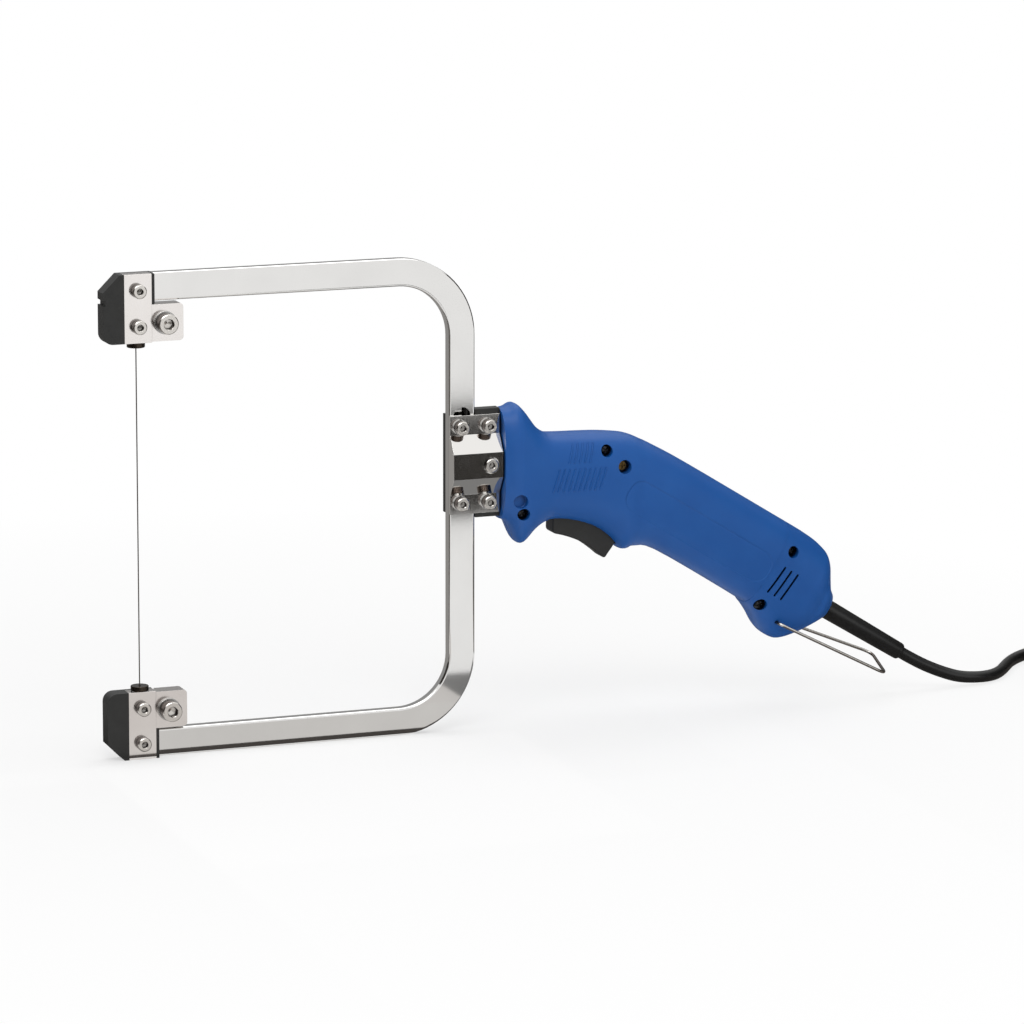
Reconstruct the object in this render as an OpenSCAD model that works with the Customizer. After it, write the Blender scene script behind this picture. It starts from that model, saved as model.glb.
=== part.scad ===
// Electric hot knife: a hot-wire bow cutter with a pistol-like handle.
// Millimetres, +Z up. The origin is the middle of the lower arm's underside, on which the bow rests.
// The bow lies in the XZ plane, the hot wire at -X and the handle at +X.

/* [Bow] */
// Height of the bow over both arms
bow_h = 242; // [200:1:300]
// Length of each arm's straight part
arm_len = 127; // [90:1:180]
// Width of the tube in the plane of the bow
tube_w = 14; // [12:0.5:18]
// Depth of the tube across the bow
tube_d = 6; // [5.5:0.5:8]
// Wall of the tube
tube_wall = 1; // [0.8:0.1:1.2]
// Outer corner radius of the tube's section
tube_corner = 1.2; // [0.9:0.1:1.6]
// Bend radius on the tube's centre line
bend_r = 33; // [25:1:45]
// Diameter of the hole in the tube's front, above the clamp
entry_hole_d = 9; // [5:0.5:10]

/* [Terminals] */
// Width of a terminal block along the arm
block_w = 14; // [12:0.5:18]
// Height of a terminal block
block_h = 34; // [30:0.5:40]
// How far a terminal block stands in front of the tube
block_step = 3; // [2.5:0.1:4]
// Thickness of the cover plate
cover_t = 2; // [1.5:0.1:2.5]
// Width of the side tab
tab_w = 16; // [14:0.5:20]
// Gap between the tab and the arm
tab_gap = 1.2; // [0.6:0.1:2]
// Corner radius of the tab
tab_corner = 2; // [0.5:0.5:3]
// Thickness of the insulator between the block and the tube's end
collar_t = 1.5; // [1:0.1:3]
// Width of the moulded end cap
cap_w = 10.8; // [8:0.2:14]
// Outer chamfer of the end cap
cap_chamfer = 8.5; // [4:0.5:9]
// Inner corner radius of the end cap
cap_round = 5; // [2:0.5:7]
// Length of the insulator's plug in the tube
plug_len = 16; // [8:1:24]
// Diameter of the hot wire
wire_d = 0.6; // [0.4:0.1:1]
// Diameter of the wire's bushing
bushing_d = 9; // [7:0.5:10]
// How far the bushing stands out of its block
bushing_h = 2.5; // [1.5:0.5:4]

/* [Clamp] */
// Height of the clamp's centre above the underside of the bow
clamp_z = 136.5; // [110:0.5:150]
// Height of the clamp plates
clamp_h = 50; // [46:1:60]
// Thickness of the front clamp's lips
lip_t = 2; // [1.5:0.1:3]
// How far the raised face stands in front of the lips
hat_raise = 5.5; // [4:0.5:8]
// Height of the raised face
hat_top_h = 13; // [10:0.5:16]
// Height of the raised part at its foot
hat_foot_h = 30.4; // [28:0.2:32]
// Thickness of the rear clamp plate
rear_t = 2.5; // [2:0.1:4]
// Distance from the tube to the handle
bridge = 13; // [11:0.5:18]
// Height of the insulating block
bridge_h = 55; // [50:1:60]
// Height between the clamp's screws
clamp_pitch_z = 38.6; // [37:0.2:42]
// Distance between the clamp's two columns of screws
clamp_pitch_x = 14.6; // [14:0.1:16]

/* [Handle] */
// Angle of the grip below the horizontal
grip_angle = 31.8; // [25:0.2:38]
// Height of the grip's section
grip_h = 46; // [42:1:52]
// Width of the grip
grip_w = 35; // [32:1:40]
// Wall of the housing
shell_wall = 2.6; // [2:0.1:3]
// Width of the trigger
trigger_w = 11; // [9:0.5:14]
// Travel of the trigger, in degrees
trigger_travel = 8; // [5:0.5:9]
// Gap between the trigger and its window
window_gap = 0.4; // [0.3:0.1:0.8]
// Wire diameter of the hanging bail
bail_d = 1.6; // [1.2:0.1:2.5]
// Length of the hanging bail
bail_len = 66; // [50:1:75]
// Length of the strain relief outside the housing
relief_len = 52; // [20:1:60]
// Diameter of the strain relief at the housing
relief_d = 10.2; // [9:0.2:12]

/* [Cord] */
// Diameter of the mains cord
cord_d = 6.2; // [5:0.2:7]
// Distance between the coil's loops
loop_step = 7.6; // [7:0.1:9]
// Height between the coil's layers
layer_step = 7.2; // [7:0.1:9]
// Loops in each layer of the coil, always an eighth short of a whole number
loops = 2.875; // [1.875, 2.875, 3.875]

/* [Hidden] */
$fn = 48;

// Clearances
slip = 0.05;
play = 0.3;
cut = 1;

// Colours
steel = "silver";
black_plastic = "#2b2b2a";
blue_plastic = "#265a9e";

// Places along X
end_x = -arm_len / 2;
leg_x = arm_len / 2 + bend_r;
block_x1 = end_x - collar_t;
block_x0 = block_x1 - block_w;
wire_x = block_x0 + block_w / 2;
flange_x = leg_x + tube_w / 2 + bridge;

// Places along Y: the front faces the viewer, at -Y
tube_front = -tube_d / 2;
tube_back = tube_d / 2;
block_front = tube_front - block_step;
lip_front = tube_front - lip_t;
hat_front = lip_front - hat_raise;
rear_back = tube_back + rear_t;
wire_y = (block_front + tube_back) / 2;

// Metric screws
m4_d = 4;
m4_head_d = 7;
m4_head_h = 4;
m4_hex = 3;
m4_clear_d = 4.4;
m4_washer_t = 1;
m6_d = 6;
m6_head_d = 10;
m6_head_h = 6;
m6_hex = 5;
m6_washer_d = 11.4;
m6_washer_t = 1.2;

// A cylinder along Y from y0 to y1
module rod_y(x, z, d, y0, y1) {
    translate([x, y1, z]) rotate([90, 0, 0]) cylinder(d = d, h = y1 - y0);
}

// A cylinder along Z
module rod_z(x, y, d, z0, z1) {
    translate([x, y, z0]) cylinder(d = d, h = z1 - z0);
}

// An outline in the XZ plane, extruded along Y from y0 to y1
module plate_y(y0, y1) {
    translate([0, y1, 0]) rotate([90, 0, 0]) linear_extrude(y1 - y0) children();
}

// A hexagon by its width across the flats
module hexagon(flats) {
    circle(d = flats / cos(30), $fn = 6);
}

// A socket head screw along Y whose head rests at y0 and whose shank ends at y1
module socket_screw(x, z, d, head_d, head_h, hex, y0, y1) {
    difference() {
        union() {
            rod_y(x, z, head_d, y0 - head_h, y0);
            rod_y(x, z, d, y0, y1);
        }
        plate_y(y0 - head_h - cut, y0 - head_h / 2) translate([x, z]) hexagon(hex);
    }
}

// A rectangle with round corners, centred
module rounded_rect(w, h, r) {
    square([w - 2 * r, h], center = true);
    square([w, h - 2 * r], center = true);
    for (sx = [-1, 1], sy = [-1, 1])
        translate([sx * (w / 2 - r), sy * (h / 2 - r)]) circle(r);
}

// A section carried along the bow: its x lies in the bow's plane, its y across
module along_bow() {
    leg_h = bow_h - tube_w - 2 * bend_r;
    for (side = [0, 1])
        translate([0, 0, side * bow_h]) mirror([0, 0, side]) {
            translate([end_x, 0, tube_w / 2]) rotate([90, 0, 90]) linear_extrude(arm_len)
                rotate(90) children();
            translate([arm_len / 2, 0, tube_w / 2 + bend_r]) rotate([90, 0, 0]) rotate(-90)
                rotate_extrude(angle = 90) translate([bend_r, 0]) children();
        }
    translate([leg_x, 0, tube_w / 2 + bend_r]) linear_extrude(leg_h)
        children();
}

// Bow tube
// The lead runs beside the clamp screws, towards the outside of the bow
clamp_screw_x = [leg_x - 1.7, leg_x - 1.7 + clamp_pitch_x];
clamp_screw_z = [clamp_z - clamp_pitch_z / 2, clamp_z + clamp_pitch_z / 2];
lead_d = 2.2;
lead_offset = 3.5;
lead_hole_d = lead_d + 2 * play;
lead_split = 8;
entry_hole_z = clamp_z + clamp_h / 2 - 0.5;

module bow_tube() {
    color(steel) difference() {
        along_bow() rounded_rect(tube_w, tube_d, tube_corner);
        bow_bore();
        for (z = clamp_screw_z)
            rod_y(clamp_screw_x[0], z, m4_clear_d, tube_front - cut, tube_back + cut);
        rod_y(leg_x, entry_hole_z, entry_hole_d, tube_front - cut, 0);
        for (side = [-1, 1])
            translate([leg_x, 0, clamp_z + side * lead_split]) rotate([0, 90, 0])
                cylinder(d = lead_hole_d, h = tube_w);
    }
}

// The space inside the tube, open at both ends
module bow_bore() {
    bore_w = tube_w - 2 * tube_wall;
    bore_d = tube_d - 2 * tube_wall;
    along_bow() square([bore_w, bore_d], center = true);
    for (z = [tube_w / 2, bow_h - tube_w / 2])
        translate([end_x - cut, -bore_d / 2, z - bore_w / 2]) cube([2 * cut, bore_d, bore_w]);
}

// Places one end's pieces at the lower arm, or mirrored at the upper arm
module at_end(upper) {
    if (upper) translate([0, 0, bow_h]) mirror([0, 0, 1]) children();
    else children();
}

// Insulator: end cap, back web, collar and the plug in the tube
web_t = 2;
notch_depth = 1.3;
notch_h = 2.6;
notch_z = 13.5;
cover_screw_z = [8.1, 25.8];
lead_z = tube_w / 2 - lead_offset;

module end_insulator(notched) {
    plug_gap = 0.15;
    cap_x0 = block_x0 - cap_w;
    collar_h = tube_w + tab_gap;
    color(black_plastic) difference() {
        union() {
            plate_y(block_front, tube_back) difference() {
                polygon(concat(
                    [[cap_x0 + cap_chamfer, 0], [block_x0, 0], [block_x0, block_h]],
                    arc_points(cap_x0 + cap_round, block_h - cap_round, cap_round, 90, 180, 8),
                    [[cap_x0, cap_chamfer]]));
                if (notched) translate([cap_x0, notch_z]) square([2 * notch_depth, notch_h], center = true);
            }
            translate([block_x0, tube_back - web_t, 0]) cube([block_w + collar_t, web_t, block_h]);
            translate([block_x1, block_front, 0])
                cube([collar_t, tube_back - block_front, collar_h]);
            translate([end_x, 0, tube_w / 2]) rotate([90, 0, 90]) linear_extrude(plug_len)
                square([tube_d, tube_w] - 2 * (tube_wall + plug_gap) * [1, 1], center = true);
        }
        translate([block_x1 - lead_depth - cut, 0, lead_z]) rotate([0, 90, 0])
            cylinder(d = lead_hole_d, h = lead_depth + plug_len + collar_t + 2 * cut);
        // The tab lies in front of the web's edge
        translate([block_x1, block_front - cut, collar_h])
            cube([collar_t + cut, tube_back - block_front + 2 * cut, block_h]);
        for (z = cover_screw_z)
            rod_y(wire_x, z, m4_d + 2 * slip, block_front, tube_back + cut);
    }
}

module upper_insulator() { at_end(true) end_insulator(true); }
module lower_insulator() { at_end(false) end_insulator(false); }

// Points on an arc, from angle a0 to angle a1 in n steps
function arc_points(cx, cy, r, a0, a1, n) =
    [for (i = [0:n]) let (a = a0 + (a1 - a0) * i / n) [cx + r * cos(a), cy + r * sin(a)]];

// Terminal block with the side tab
tab_z0 = tube_w + tab_gap;
tab_z1 = block_h - 0.5;
tab_bolt_x = block_x1 + 6.5;
tab_bolt_z = (tab_z0 + tab_z1) / 2;
wire_depth = 6;
bushing_stem_d = 5;
bushing_stem_h = 2;
lead_depth = 5;

module terminal() {
    block_back = tube_back - web_t;
    color(steel) difference() {
        union() {
            translate([block_x0, block_front + cover_t, 0])
                cube([block_w, block_back - block_front - cover_t, block_h]);
            plate_y(block_front, block_back) tab_outline();
            plate_y(block_back, tube_back) intersection() {
                tab_outline();
                translate([block_x1 + collar_t, 0]) square([tab_w, block_h]);
            }
        }
        for (z = cover_screw_z)
            rod_y(wire_x, z, m4_d + 2 * slip, block_front, tube_back);
        rod_y(tab_bolt_x, tab_bolt_z, m6_d + 2 * slip, block_front - cut, tube_back + cut);
        rod_z(wire_x, wire_y, wire_d + 2 * play, block_h - wire_depth, block_h + cut);
        rod_z(wire_x, wire_y, bushing_stem_d + 2 * slip, block_h - bushing_stem_h - slip, block_h + cut);
        translate([block_x1 - lead_depth, 0, lead_z]) rotate([0, 90, 0])
            cylinder(d = lead_d + 2 * slip, h = lead_depth + cut);
    }
}

// The tab reaches back to the block, and its free corners are round
module tab_outline() {
    r = tab_corner;
    x1 = block_x1 + tab_w;
    polygon(concat(
        [[block_x1 - cut / 2, tab_z0]],
        arc_points(x1 - r, tab_z0 + r, r, -90, 0, 6),
        arc_points(x1 - r, tab_z1 - r, r, 0, 90, 6),
        [[block_x1 - cut / 2, tab_z1]]));
}

module upper_terminal() { at_end(true) difference() { terminal(); cover_space(); } }
module lower_terminal() { at_end(false) difference() { terminal(); cover_space(); } }

// The room that the cover plate takes
module cover_space() {
    translate([block_x0 - cut, block_front - cut, -cut])
        cube([block_w + cut, cover_t + cut, block_h + 2 * cut]);
}

module cover() {
    color(steel) difference() {
        translate([block_x0, block_front, 0]) cube([block_w, cover_t, block_h]);
        for (z = cover_screw_z)
            rod_y(wire_x, z, m4_clear_d, block_front - cut, block_front + cover_t + cut);
    }
}

module upper_cover() { at_end(true) cover(); }
module lower_cover() { at_end(false) cover(); }

module cover_screws() {
    color(steel) for (upper = [false, true], z = cover_screw_z)
        at_end(upper) socket_screw(wire_x, z, m4_d, m4_head_d, m4_head_h, m4_hex,
            block_front, tube_back - 0.5);
}

module terminal_bolts() {
    color(steel) for (upper = [false, true])
        at_end(upper) socket_screw(tab_bolt_x, tab_bolt_z, m6_d, m6_head_d, m6_head_h, m6_hex,
            block_front - m6_washer_t, tube_back - 0.5);
}

module terminal_washers() {
    color(steel) for (upper = [false, true]) at_end(upper) difference() {
        rod_y(tab_bolt_x, tab_bolt_z, m6_washer_d, block_front - m6_washer_t, block_front);
        rod_y(tab_bolt_x, tab_bolt_z, m6_d + 2 * play, block_front - 2 * m6_washer_t, block_front + cut);
    }
}

module wire_bushings() {
    color(steel) for (upper = [false, true]) at_end(upper) difference() {
        union() {
            rod_z(wire_x, wire_y, bushing_d, block_h, block_h + bushing_h);
            rod_z(wire_x, wire_y, bushing_stem_d, block_h - bushing_stem_h, block_h + slip);
        }
        rod_z(wire_x, wire_y, wire_d + 2 * play, block_h - 2 * bushing_stem_h, block_h + 2 * bushing_h);
    }
}

module hot_wire() {
    tail = wire_depth - 1;
    color("dimgray") rod_z(wire_x, wire_y, wire_d, block_h - tail, bow_h - block_h + tail);
}

// Leads from the insulating block through the leg and the arms to the terminals
module bow_leads() {
    turn_r = lead_offset;
    lead_end_x = flange_x + tongue_len;
    color("firebrick") for (side = [0, 1])
        translate([0, 0, side * 2 * clamp_z]) mirror([0, 0, side]) {
            // From the tongue's end to the leg, then a quarter turn down
            turn_z = clamp_z - lead_split;
            turn_x = leg_x + lead_offset + turn_r;
            translate([turn_x, 0, turn_z]) rotate([0, 90, 0])
                cylinder(d = lead_d, h = lead_end_x - turn_x);
            translate([turn_x, 0, turn_z - turn_r]) rotate([90, 0, 0]) rotate(90)
                rotate_extrude(angle = 90) translate([turn_r, 0]) circle(d = lead_d);
            // Down the leg to the bend and out along the arm
            foot_z = side == 0 ? 0 : 2 * clamp_z - bow_h;
            bend_z = foot_z + tube_w / 2 + bend_r;
            rod_z(leg_x + lead_offset, 0, lead_d, bend_z, turn_z - turn_r);
            translate([arm_len / 2, 0, bend_z]) rotate([90, 0, 0]) rotate(-90)
                rotate_extrude(angle = 90) translate([bend_r + lead_offset, 0]) circle(d = lead_d);
            translate([block_x1 - lead_depth + play, 0, foot_z + lead_z]) rotate([0, 90, 0])
                cylinder(d = lead_d, h = arm_len / 2 - block_x1 + lead_depth - play);
        }
}

// Clamp between the bow and the handle
clamp_x0 = leg_x - tube_w / 2;
clamp_x1 = flange_x - 0.8;
tongue_len = 13;
tongue_h = 40;
centre_sink_d = 8.4;
centre_sink = 2.5;

module front_clamp() {
    half = clamp_h / 2;
    side = [[tube_front, half], [lip_front, half], [lip_front, hat_foot_h / 2],
        [hat_front, hat_top_h / 2]];
    color(steel) difference() {
        translate([clamp_x0, 0, clamp_z]) rotate([90, 0, 90]) linear_extrude(clamp_x1 - clamp_x0)
            polygon(concat(side, [for (i = [len(side) - 1:-1:0]) [side[i][0], -side[i][1]]]));
        for (x = clamp_screw_x, z = clamp_screw_z)
            rod_y(x, z, m4_clear_d, lip_front - cut, tube_front + cut);
        rod_y(clamp_screw_x[1], clamp_z, m4_clear_d, hat_front - cut, tube_front + cut);
        rod_y(clamp_screw_x[1], clamp_z, centre_sink_d, hat_front - cut, hat_front + centre_sink);
    }
}

module rear_clamp() {
    color(black_plastic) difference() {
        translate([clamp_x0, tube_back, clamp_z - clamp_h / 2])
            cube([clamp_x1 - clamp_x0, rear_t, clamp_h]);
        for (x = clamp_screw_x, z = clamp_screw_z)
            rod_y(x, z, m4_clear_d, tube_back - cut, rear_back + cut);
    }
}

module insulating_block() {
    color(black_plastic) difference() {
        union() {
            translate([leg_x + tube_w / 2, tube_front, clamp_z - bridge_h / 2])
                cube([bridge, tube_d, bridge_h]);
            translate([flange_x - cut, tube_front, clamp_z - tongue_h / 2])
                cube([tongue_len + cut, tube_d, tongue_h]);
        }
        for (z = clamp_screw_z)
            rod_y(clamp_screw_x[1], z, m4_clear_d, tube_front - cut, tube_back + cut);
        rod_y(clamp_screw_x[1], clamp_z, m4_d + 2 * slip, tube_front - cut, tube_back + cut);
        for (side = [-1, 1])
            translate([leg_x, 0, clamp_z + side * lead_split]) rotate([0, 90, 0])
                cylinder(d = lead_hole_d, h = tube_w + bridge + tongue_len);
    }
}

nut_h = 3.2;
nut_flats = 7;

module clamp_screws() {
    color(steel) for (x = clamp_screw_x, z = clamp_screw_z)
        socket_screw(x, z, m4_d, m4_head_d, m4_head_h, m4_hex, lip_front - m4_washer_t,
            rear_back + nut_h + 1);
}

// Spring washers, split at one side
module clamp_washers() {
    gap = 0.8;
    color(steel) for (x = clamp_screw_x, z = clamp_screw_z) difference() {
        rod_y(x, z, m4_head_d + 0.6, lip_front - m4_washer_t, lip_front);
        rod_y(x, z, m4_d + play, lip_front - 2 * m4_washer_t, lip_front + cut);
        translate([x - gap / 2, lip_front - 2 * m4_washer_t, z])
            cube([gap, 3 * m4_washer_t, m4_head_d]);
    }
}

module clamp_nuts() {
    color(steel) for (x = clamp_screw_x, z = clamp_screw_z) difference() {
        plate_y(rear_back, rear_back + nut_h) translate([x, z]) hexagon(nut_flats);
        rod_y(x, z, m4_d + 2 * slip, rear_back - cut, rear_back + nut_h + cut);
    }
}

module centre_screw() {
    color(steel) socket_screw(clamp_screw_x[1], clamp_z, m4_d, m4_head_d, m4_head_h, m4_hex,
        hat_front + centre_sink, tube_back - 0.5);
}

// Handle
// Its own frame starts at the flange's face, level with the clamp's centre
module at_handle() { translate([flange_x, 0, clamp_z]) children(); }

// The grip's own frame: u runs down the grip, v across it
grip_x = 90.6;
grip_z = -27.8;
function grip_point(u, v) = [
    grip_x + u * cos(grip_angle) + v * sin(grip_angle),
    grip_z - u * sin(grip_angle) + v * cos(grip_angle)];

module at_grip(u = 0, v = 0) {
    p = grip_point(u, v);
    at_handle() translate([p[0], 0, p[1]]) rotate([0, grip_angle, 0]) children();
}

// Sections of the handle: top x, top z, bottom x, bottom z, half width
front_sections = [
    [0, 27, 0, -29, 12.5],
    [4, 27.6, 4, -31.5, 14.5],
    [8.2, 29.2, 8.2, -40.5, 15.5],
    [12.5, 25.5, 11.8, -42, 15.5],
    [18.5, 17.4, 17.5, -36, 15.3],
    [23.5, 13.8, 23, -32.3, 15],
    [28, 12.7, 28.5, -31, 15],
    [44, 12.2, 39, -32.4, 15.5],
    [55, 11.7, 50, -36.2, 16],
    [66, 10.4, 58, -42, 16.5],
    [71.5, 8.8, 63, -47.8, 17],
    [76, 6.7, 66.5, -49, 17],
    [82, 3.7, 71, -47.8, 17.2]];
// Sections of the grip and the tail in the grip's frame: top u, top v, bottom u, bottom v, half width
half_h = grip_h / 2;
half_w = grip_w / 2;
tail_sections = [
    [-3, half_h, 7, -half_h, half_w],
    [55, half_h, 57, -half_h, half_w - 0.5],
    [63, half_h, 64, -half_h - 1, half_w - 1],
    [70, half_h, 71, -half_h - 4, half_w - 1.5],
    [76, half_h - 0.2, 76.5, -half_h - 7.2, half_w - 2],
    [82, half_h - 0.7, 82, -half_h - 9, half_w - 2.3],
    [88, half_h - 2, 88, -half_h - 9, half_w - 2.5],
    [91.5, half_h - 3.5, 91.5, -half_h - 7, half_w - 2.5],
    [94.7, half_h - 6.5, 95, -half_h - 3.5, half_w - 3],
    [98, 11.5, 98.3, -22.5, half_w - 4],
    [101.5, 6, 101.5, -17.5, 13],
    [105, 3.5, 105, -13, 10],
    [106.5, 1, 106.5, -11, 8]];
function from_grip(s) = concat(grip_point(s[0], s[1]), grip_point(s[2], s[3]), [s[4]]);
sections = concat(front_sections, [for (s = tail_sections) from_grip(s)]);

// A smooth curve through rows of numbers
function curve_row(a, b, c, d, t) =
    0.5 * (2 * b + (c - a) * t + (2 * a - 5 * b + 4 * c - d) * t * t
        + (3 * b - a - 3 * c + d) * t * t * t);
function curve(rows, steps) = let (n = len(rows) - 1) concat(
    [for (i = [0:n - 1], s = [0:steps - 1])
        curve_row(rows[max(i - 1, 0)], rows[i], rows[i + 1], rows[min(i + 2, n)], s / steps)],
    [rows[n]]);

// A point on a section's rounded outline, from the top at 0 to the bottom at 180 degrees
outline_power = 0.72;
function rounded(c) = sign(c) * pow(abs(c), outline_power);
function section_point(s, a, inset, edge) = let (
    mid = [s[0] + s[2], s[1] + s[3]] / 2,
    reach = [s[0] - s[2], s[1] - s[3]] / 2,
    size = (norm(reach) - inset) / norm(reach),
    p = mid + reach * size * rounded(cos(a)),
    y = (s[4] - inset) * rounded(sin(a)))
    [p[0], a == 0 || a == 180 ? -edge : -y, p[1]];

// Half a section; with open above 0 it is carried straight on past the seam by that much
function half_section(s, sides, inset, open) = let (
    edge = open > 0 ? 0.5 : 0,
    points = [for (k = [0:sides]) section_point(s, 180 * k / sides, inset, edge)],
    top = points[0],
    bottom = points[sides])
    open > 0 ? concat([[top[0], open, top[2]]], points, [[bottom[0], open, bottom[2]]]) : points;

// One half of a lofted body, at -Y, closed along the seam
module half_loft(rows, sides, inset = 0, open = 0) {
    rings = [for (s = rows) half_section(s, sides, inset, open)];
    n = len(rings[0]);
    last = len(rings) - 1;
    faces = concat(
        [for (i = [0:last - 1], k = [0:n - 2]) [i * n + k, (i + 1) * n + k, (i + 1) * n + k + 1]],
        [for (i = [0:last - 1], k = [0:n - 2]) [i * n + k, (i + 1) * n + k + 1, i * n + k + 1]],
        [for (i = [0:last - 1]) [i * n, i * n + n - 1, (i + 1) * n + n - 1]],
        [for (i = [0:last - 1]) [i * n, (i + 1) * n + n - 1, (i + 1) * n]],
        [[for (k = [0:n - 1]) k]],
        [[for (k = [n - 1:-1:0]) last * n + k]]);
    polyhedron([for (ring = rings) each ring], faces);
}

// Housing screws: three stand in the grip's frame, two in the handle's
housing_screw_d = 3;
housing_head_d = 5.4;
recess_d = 6.2;
boss_d = 8;
housing_head_h = 2.4;
housing_thread = 10;
tail_screw_a = grip_point(69.3, 11);
tail_screw_b = grip_point(69, -20.5);
housing_screw_spots = [[9, -25.5], [53.5, 3.9], tail_screw_a, tail_screw_b];
head_y = -9;
adjuster_spot = [62.5, -4.5];
adjuster_hole_d = 7;
adjuster_d = 4.4;
adjuster_y0 = -11.5;
adjuster_y1 = -8;
dimple_spot = [7.3, -18.8];
dimple_d = 7;
dimple_y = -12;

// Trigger and its pivot, in the handle's frame
pivot = [31, -27.5];
pin_d = 3;
pin_half = trigger_w / 2 + 2.2;
hub_r = 4;
trigger_r = 35.2;

// Hanging bail
bail_spot = grip_point(81.7, -24.2);
bail_half = 17.2;
bail_hook = 6;
bail_hole_d = bail_d + 4 * slip;

// Strain relief
relief_v = -5;
relief_u = 106;
relief_seat = 7.5;
relief_collar_d = relief_d + 3.6;

// One shell of the housing, at -Y, with its screws' bores as deep as bore
module shell(bore) {
    difference() {
        half_loft(curve(sections, 2), 16);
        shell_space();
        trigger_window();
        for (p = housing_screw_spots) rod_y(p[0], p[1], housing_screw_d + 2 * slip, -bore, cut);
        rod_y(pivot[0], pivot[1], pin_d + 2 * slip, -pin_half - slip, cut);
        rod_y(bail_spot[0], bail_spot[1], bail_hole_d, -grip_w, bail_hook - bail_half + play);
        // Slot for the insulating block's tongue
        translate([-cut, tube_front - slip, -tongue_h / 2 - slip])
            cube([tongue_len + cut + play, tube_d, tongue_h + 2 * slip]);
        relief_bore();
    }
}

// The space inside a shell, less the bosses and ribs that hold the inner pieces
module shell_space() {
    difference() {
        half_loft([for (i = [2:len(sections) - 4]) sections[i]], 10, shell_wall, cut);
        for (p = housing_screw_spots) rod_y(p[0], p[1], boss_d, -grip_w, 0);
        rod_y(pivot[0], pivot[1], boss_d, -grip_w, -trigger_w / 2 - window_gap);
        rod_y(bail_spot[0], bail_spot[1], boss_d, -grip_w, bail_hook - bail_half + 1);
        rod_y(adjuster_spot[0], adjuster_spot[1], adjuster_hole_d + 3, -grip_w, adjuster_y1);
        rod_y(dimple_spot[0], dimple_spot[1], dimple_d + 3, -grip_w, dimple_y + 2);
        core_ribs();
        clamp_rib();
        switch_ribs();
    }
}

// Ribs with a pocket for the transformer and a channel for the bus bars
module core_ribs() {
    rib_t = 2;
    at_grip(core_u, core_v) difference() {
        for (side = [-1, 1])
            translate([side * (core_l / 2 - 4) - rib_t / 2, -grip_w, -grip_h])
                cube([rib_t, grip_w, 2 * grip_h]);
        translate([-core_l / 2 - slip, -core_w / 2 - slip, -core_t / 2 - slip])
            cube([core_l + 2 * slip, core_w + 2 * slip, core_t + 2 * slip]);
        translate([-core_l, -bar_y - bar_t - 1, 0]) cube([2 * core_l, core_w, core_t]);
    }
}

// Rib under the mains leads, into which the cord clamp is screwed
module clamp_rib() {
    at_grip(clamp_u, relief_v) difference() {
        translate([-3.5, -grip_w, -grip_h]) cube([7, grip_w, grip_h - mains_d / 2]);
        translate([0, -clamp_pitch, -mains_d / 2 - clamp_thread])
            cylinder(d = clamp_screw_d + 2 * slip, h = clamp_thread + cut);
    }
}

// Ribs with a pocket for the switch
module switch_ribs() {
    rib_t = 2;
    reach = 2;
    difference() {
        for (x = [3, switch_size[0] - 5])
            translate([switch_x + x, -grip_w, switch_z + reach])
                cube([rib_t, grip_w, switch_size[2] - 3 * reach]);
        translate([switch_x - slip, -switch_size[1] / 2 - slip, switch_z - slip])
            cube([switch_size[0] + 2 * slip, grip_w, switch_size[2] + 2 * slip]);
    }
}

module trigger_window() {
    window_front = 5.4;
    plate_y(-trigger_w / 2 - window_gap, trigger_w / 2 + window_gap) intersection() {
        translate(pivot) circle(trigger_r + window_gap);
        translate([pivot[0] - window_front, pivot[1] - 2 * trigger_r])
            square([2 * trigger_r, 2 * trigger_r + hub_r + window_gap]);
    }
}

module relief_bore() {
    at_relief() {
        translate([0, 0, -relief_seat - cut]) cylinder(d = relief_d + 2 * slip, h = 3 * relief_seat);
        translate([0, 0, -relief_seat + 1 - slip]) cylinder(d = relief_collar_d + 2 * slip, h = 2 + 2 * slip);
    }
}

// The strain relief's own frame, inside the handle's, with Z along it
module at_relief() {
    p = grip_point(relief_u, relief_v);
    translate([p[0], 0, p[1]]) rotate([0, 90 + grip_angle, 0]) children();
}

module left_housing() {
    color(blue_plastic) at_handle() difference() {
        shell(grip_w);
        for (p = housing_screw_spots) rod_y(p[0], p[1], recess_d, -grip_w, head_y);
        rod_y(adjuster_spot[0], adjuster_spot[1], adjuster_hole_d, -grip_w, adjuster_y1 - 1);
        rod_y(dimple_spot[0], dimple_spot[1], dimple_d, -grip_w, dimple_y);
        for (i = [0:2]) vent_slot(i);
    }
}

module right_housing() {
    color(blue_plastic) at_handle() mirror([0, 1, 0]) difference() {
        shell(housing_thread);
        for (i = [0:2]) vent_slot(i);
    }
}

// Three narrow vents across the tail
module vent_slot(i) {
    pitch = 4.3;
    length = 16;
    width = 1.2;
    lean = 6;
    inner = 8;
    at_grip(68.4 + i * pitch, -5.5) rotate([0, lean, 0])
        translate([-width / 2, -grip_w, -length / 2]) cube([width, grip_w - inner, length]);
}

module housing_screws() {
    color("dimgray") at_handle() for (p = housing_screw_spots) difference() {
        union() {
            rod_y(p[0], p[1], housing_head_d, head_y - housing_head_h, head_y);
            rod_y(p[0], p[1], housing_screw_d, head_y, housing_thread - 1);
        }
        plate_y(head_y - housing_head_h - cut, head_y - housing_head_h / 2) translate(p) cross_slot();
    }
}

module cross_slot() {
    square([3.2, 0.7], center = true);
    square([0.7, 3.2], center = true);
}

module adjuster() {
    color("goldenrod") at_handle() difference() {
        rod_y(adjuster_spot[0], adjuster_spot[1], adjuster_d, adjuster_y0, adjuster_y1 - 1);
        plate_y(adjuster_y0 - cut, adjuster_y0 + 1) translate(adjuster_spot) cross_slot();
    }
}

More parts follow.
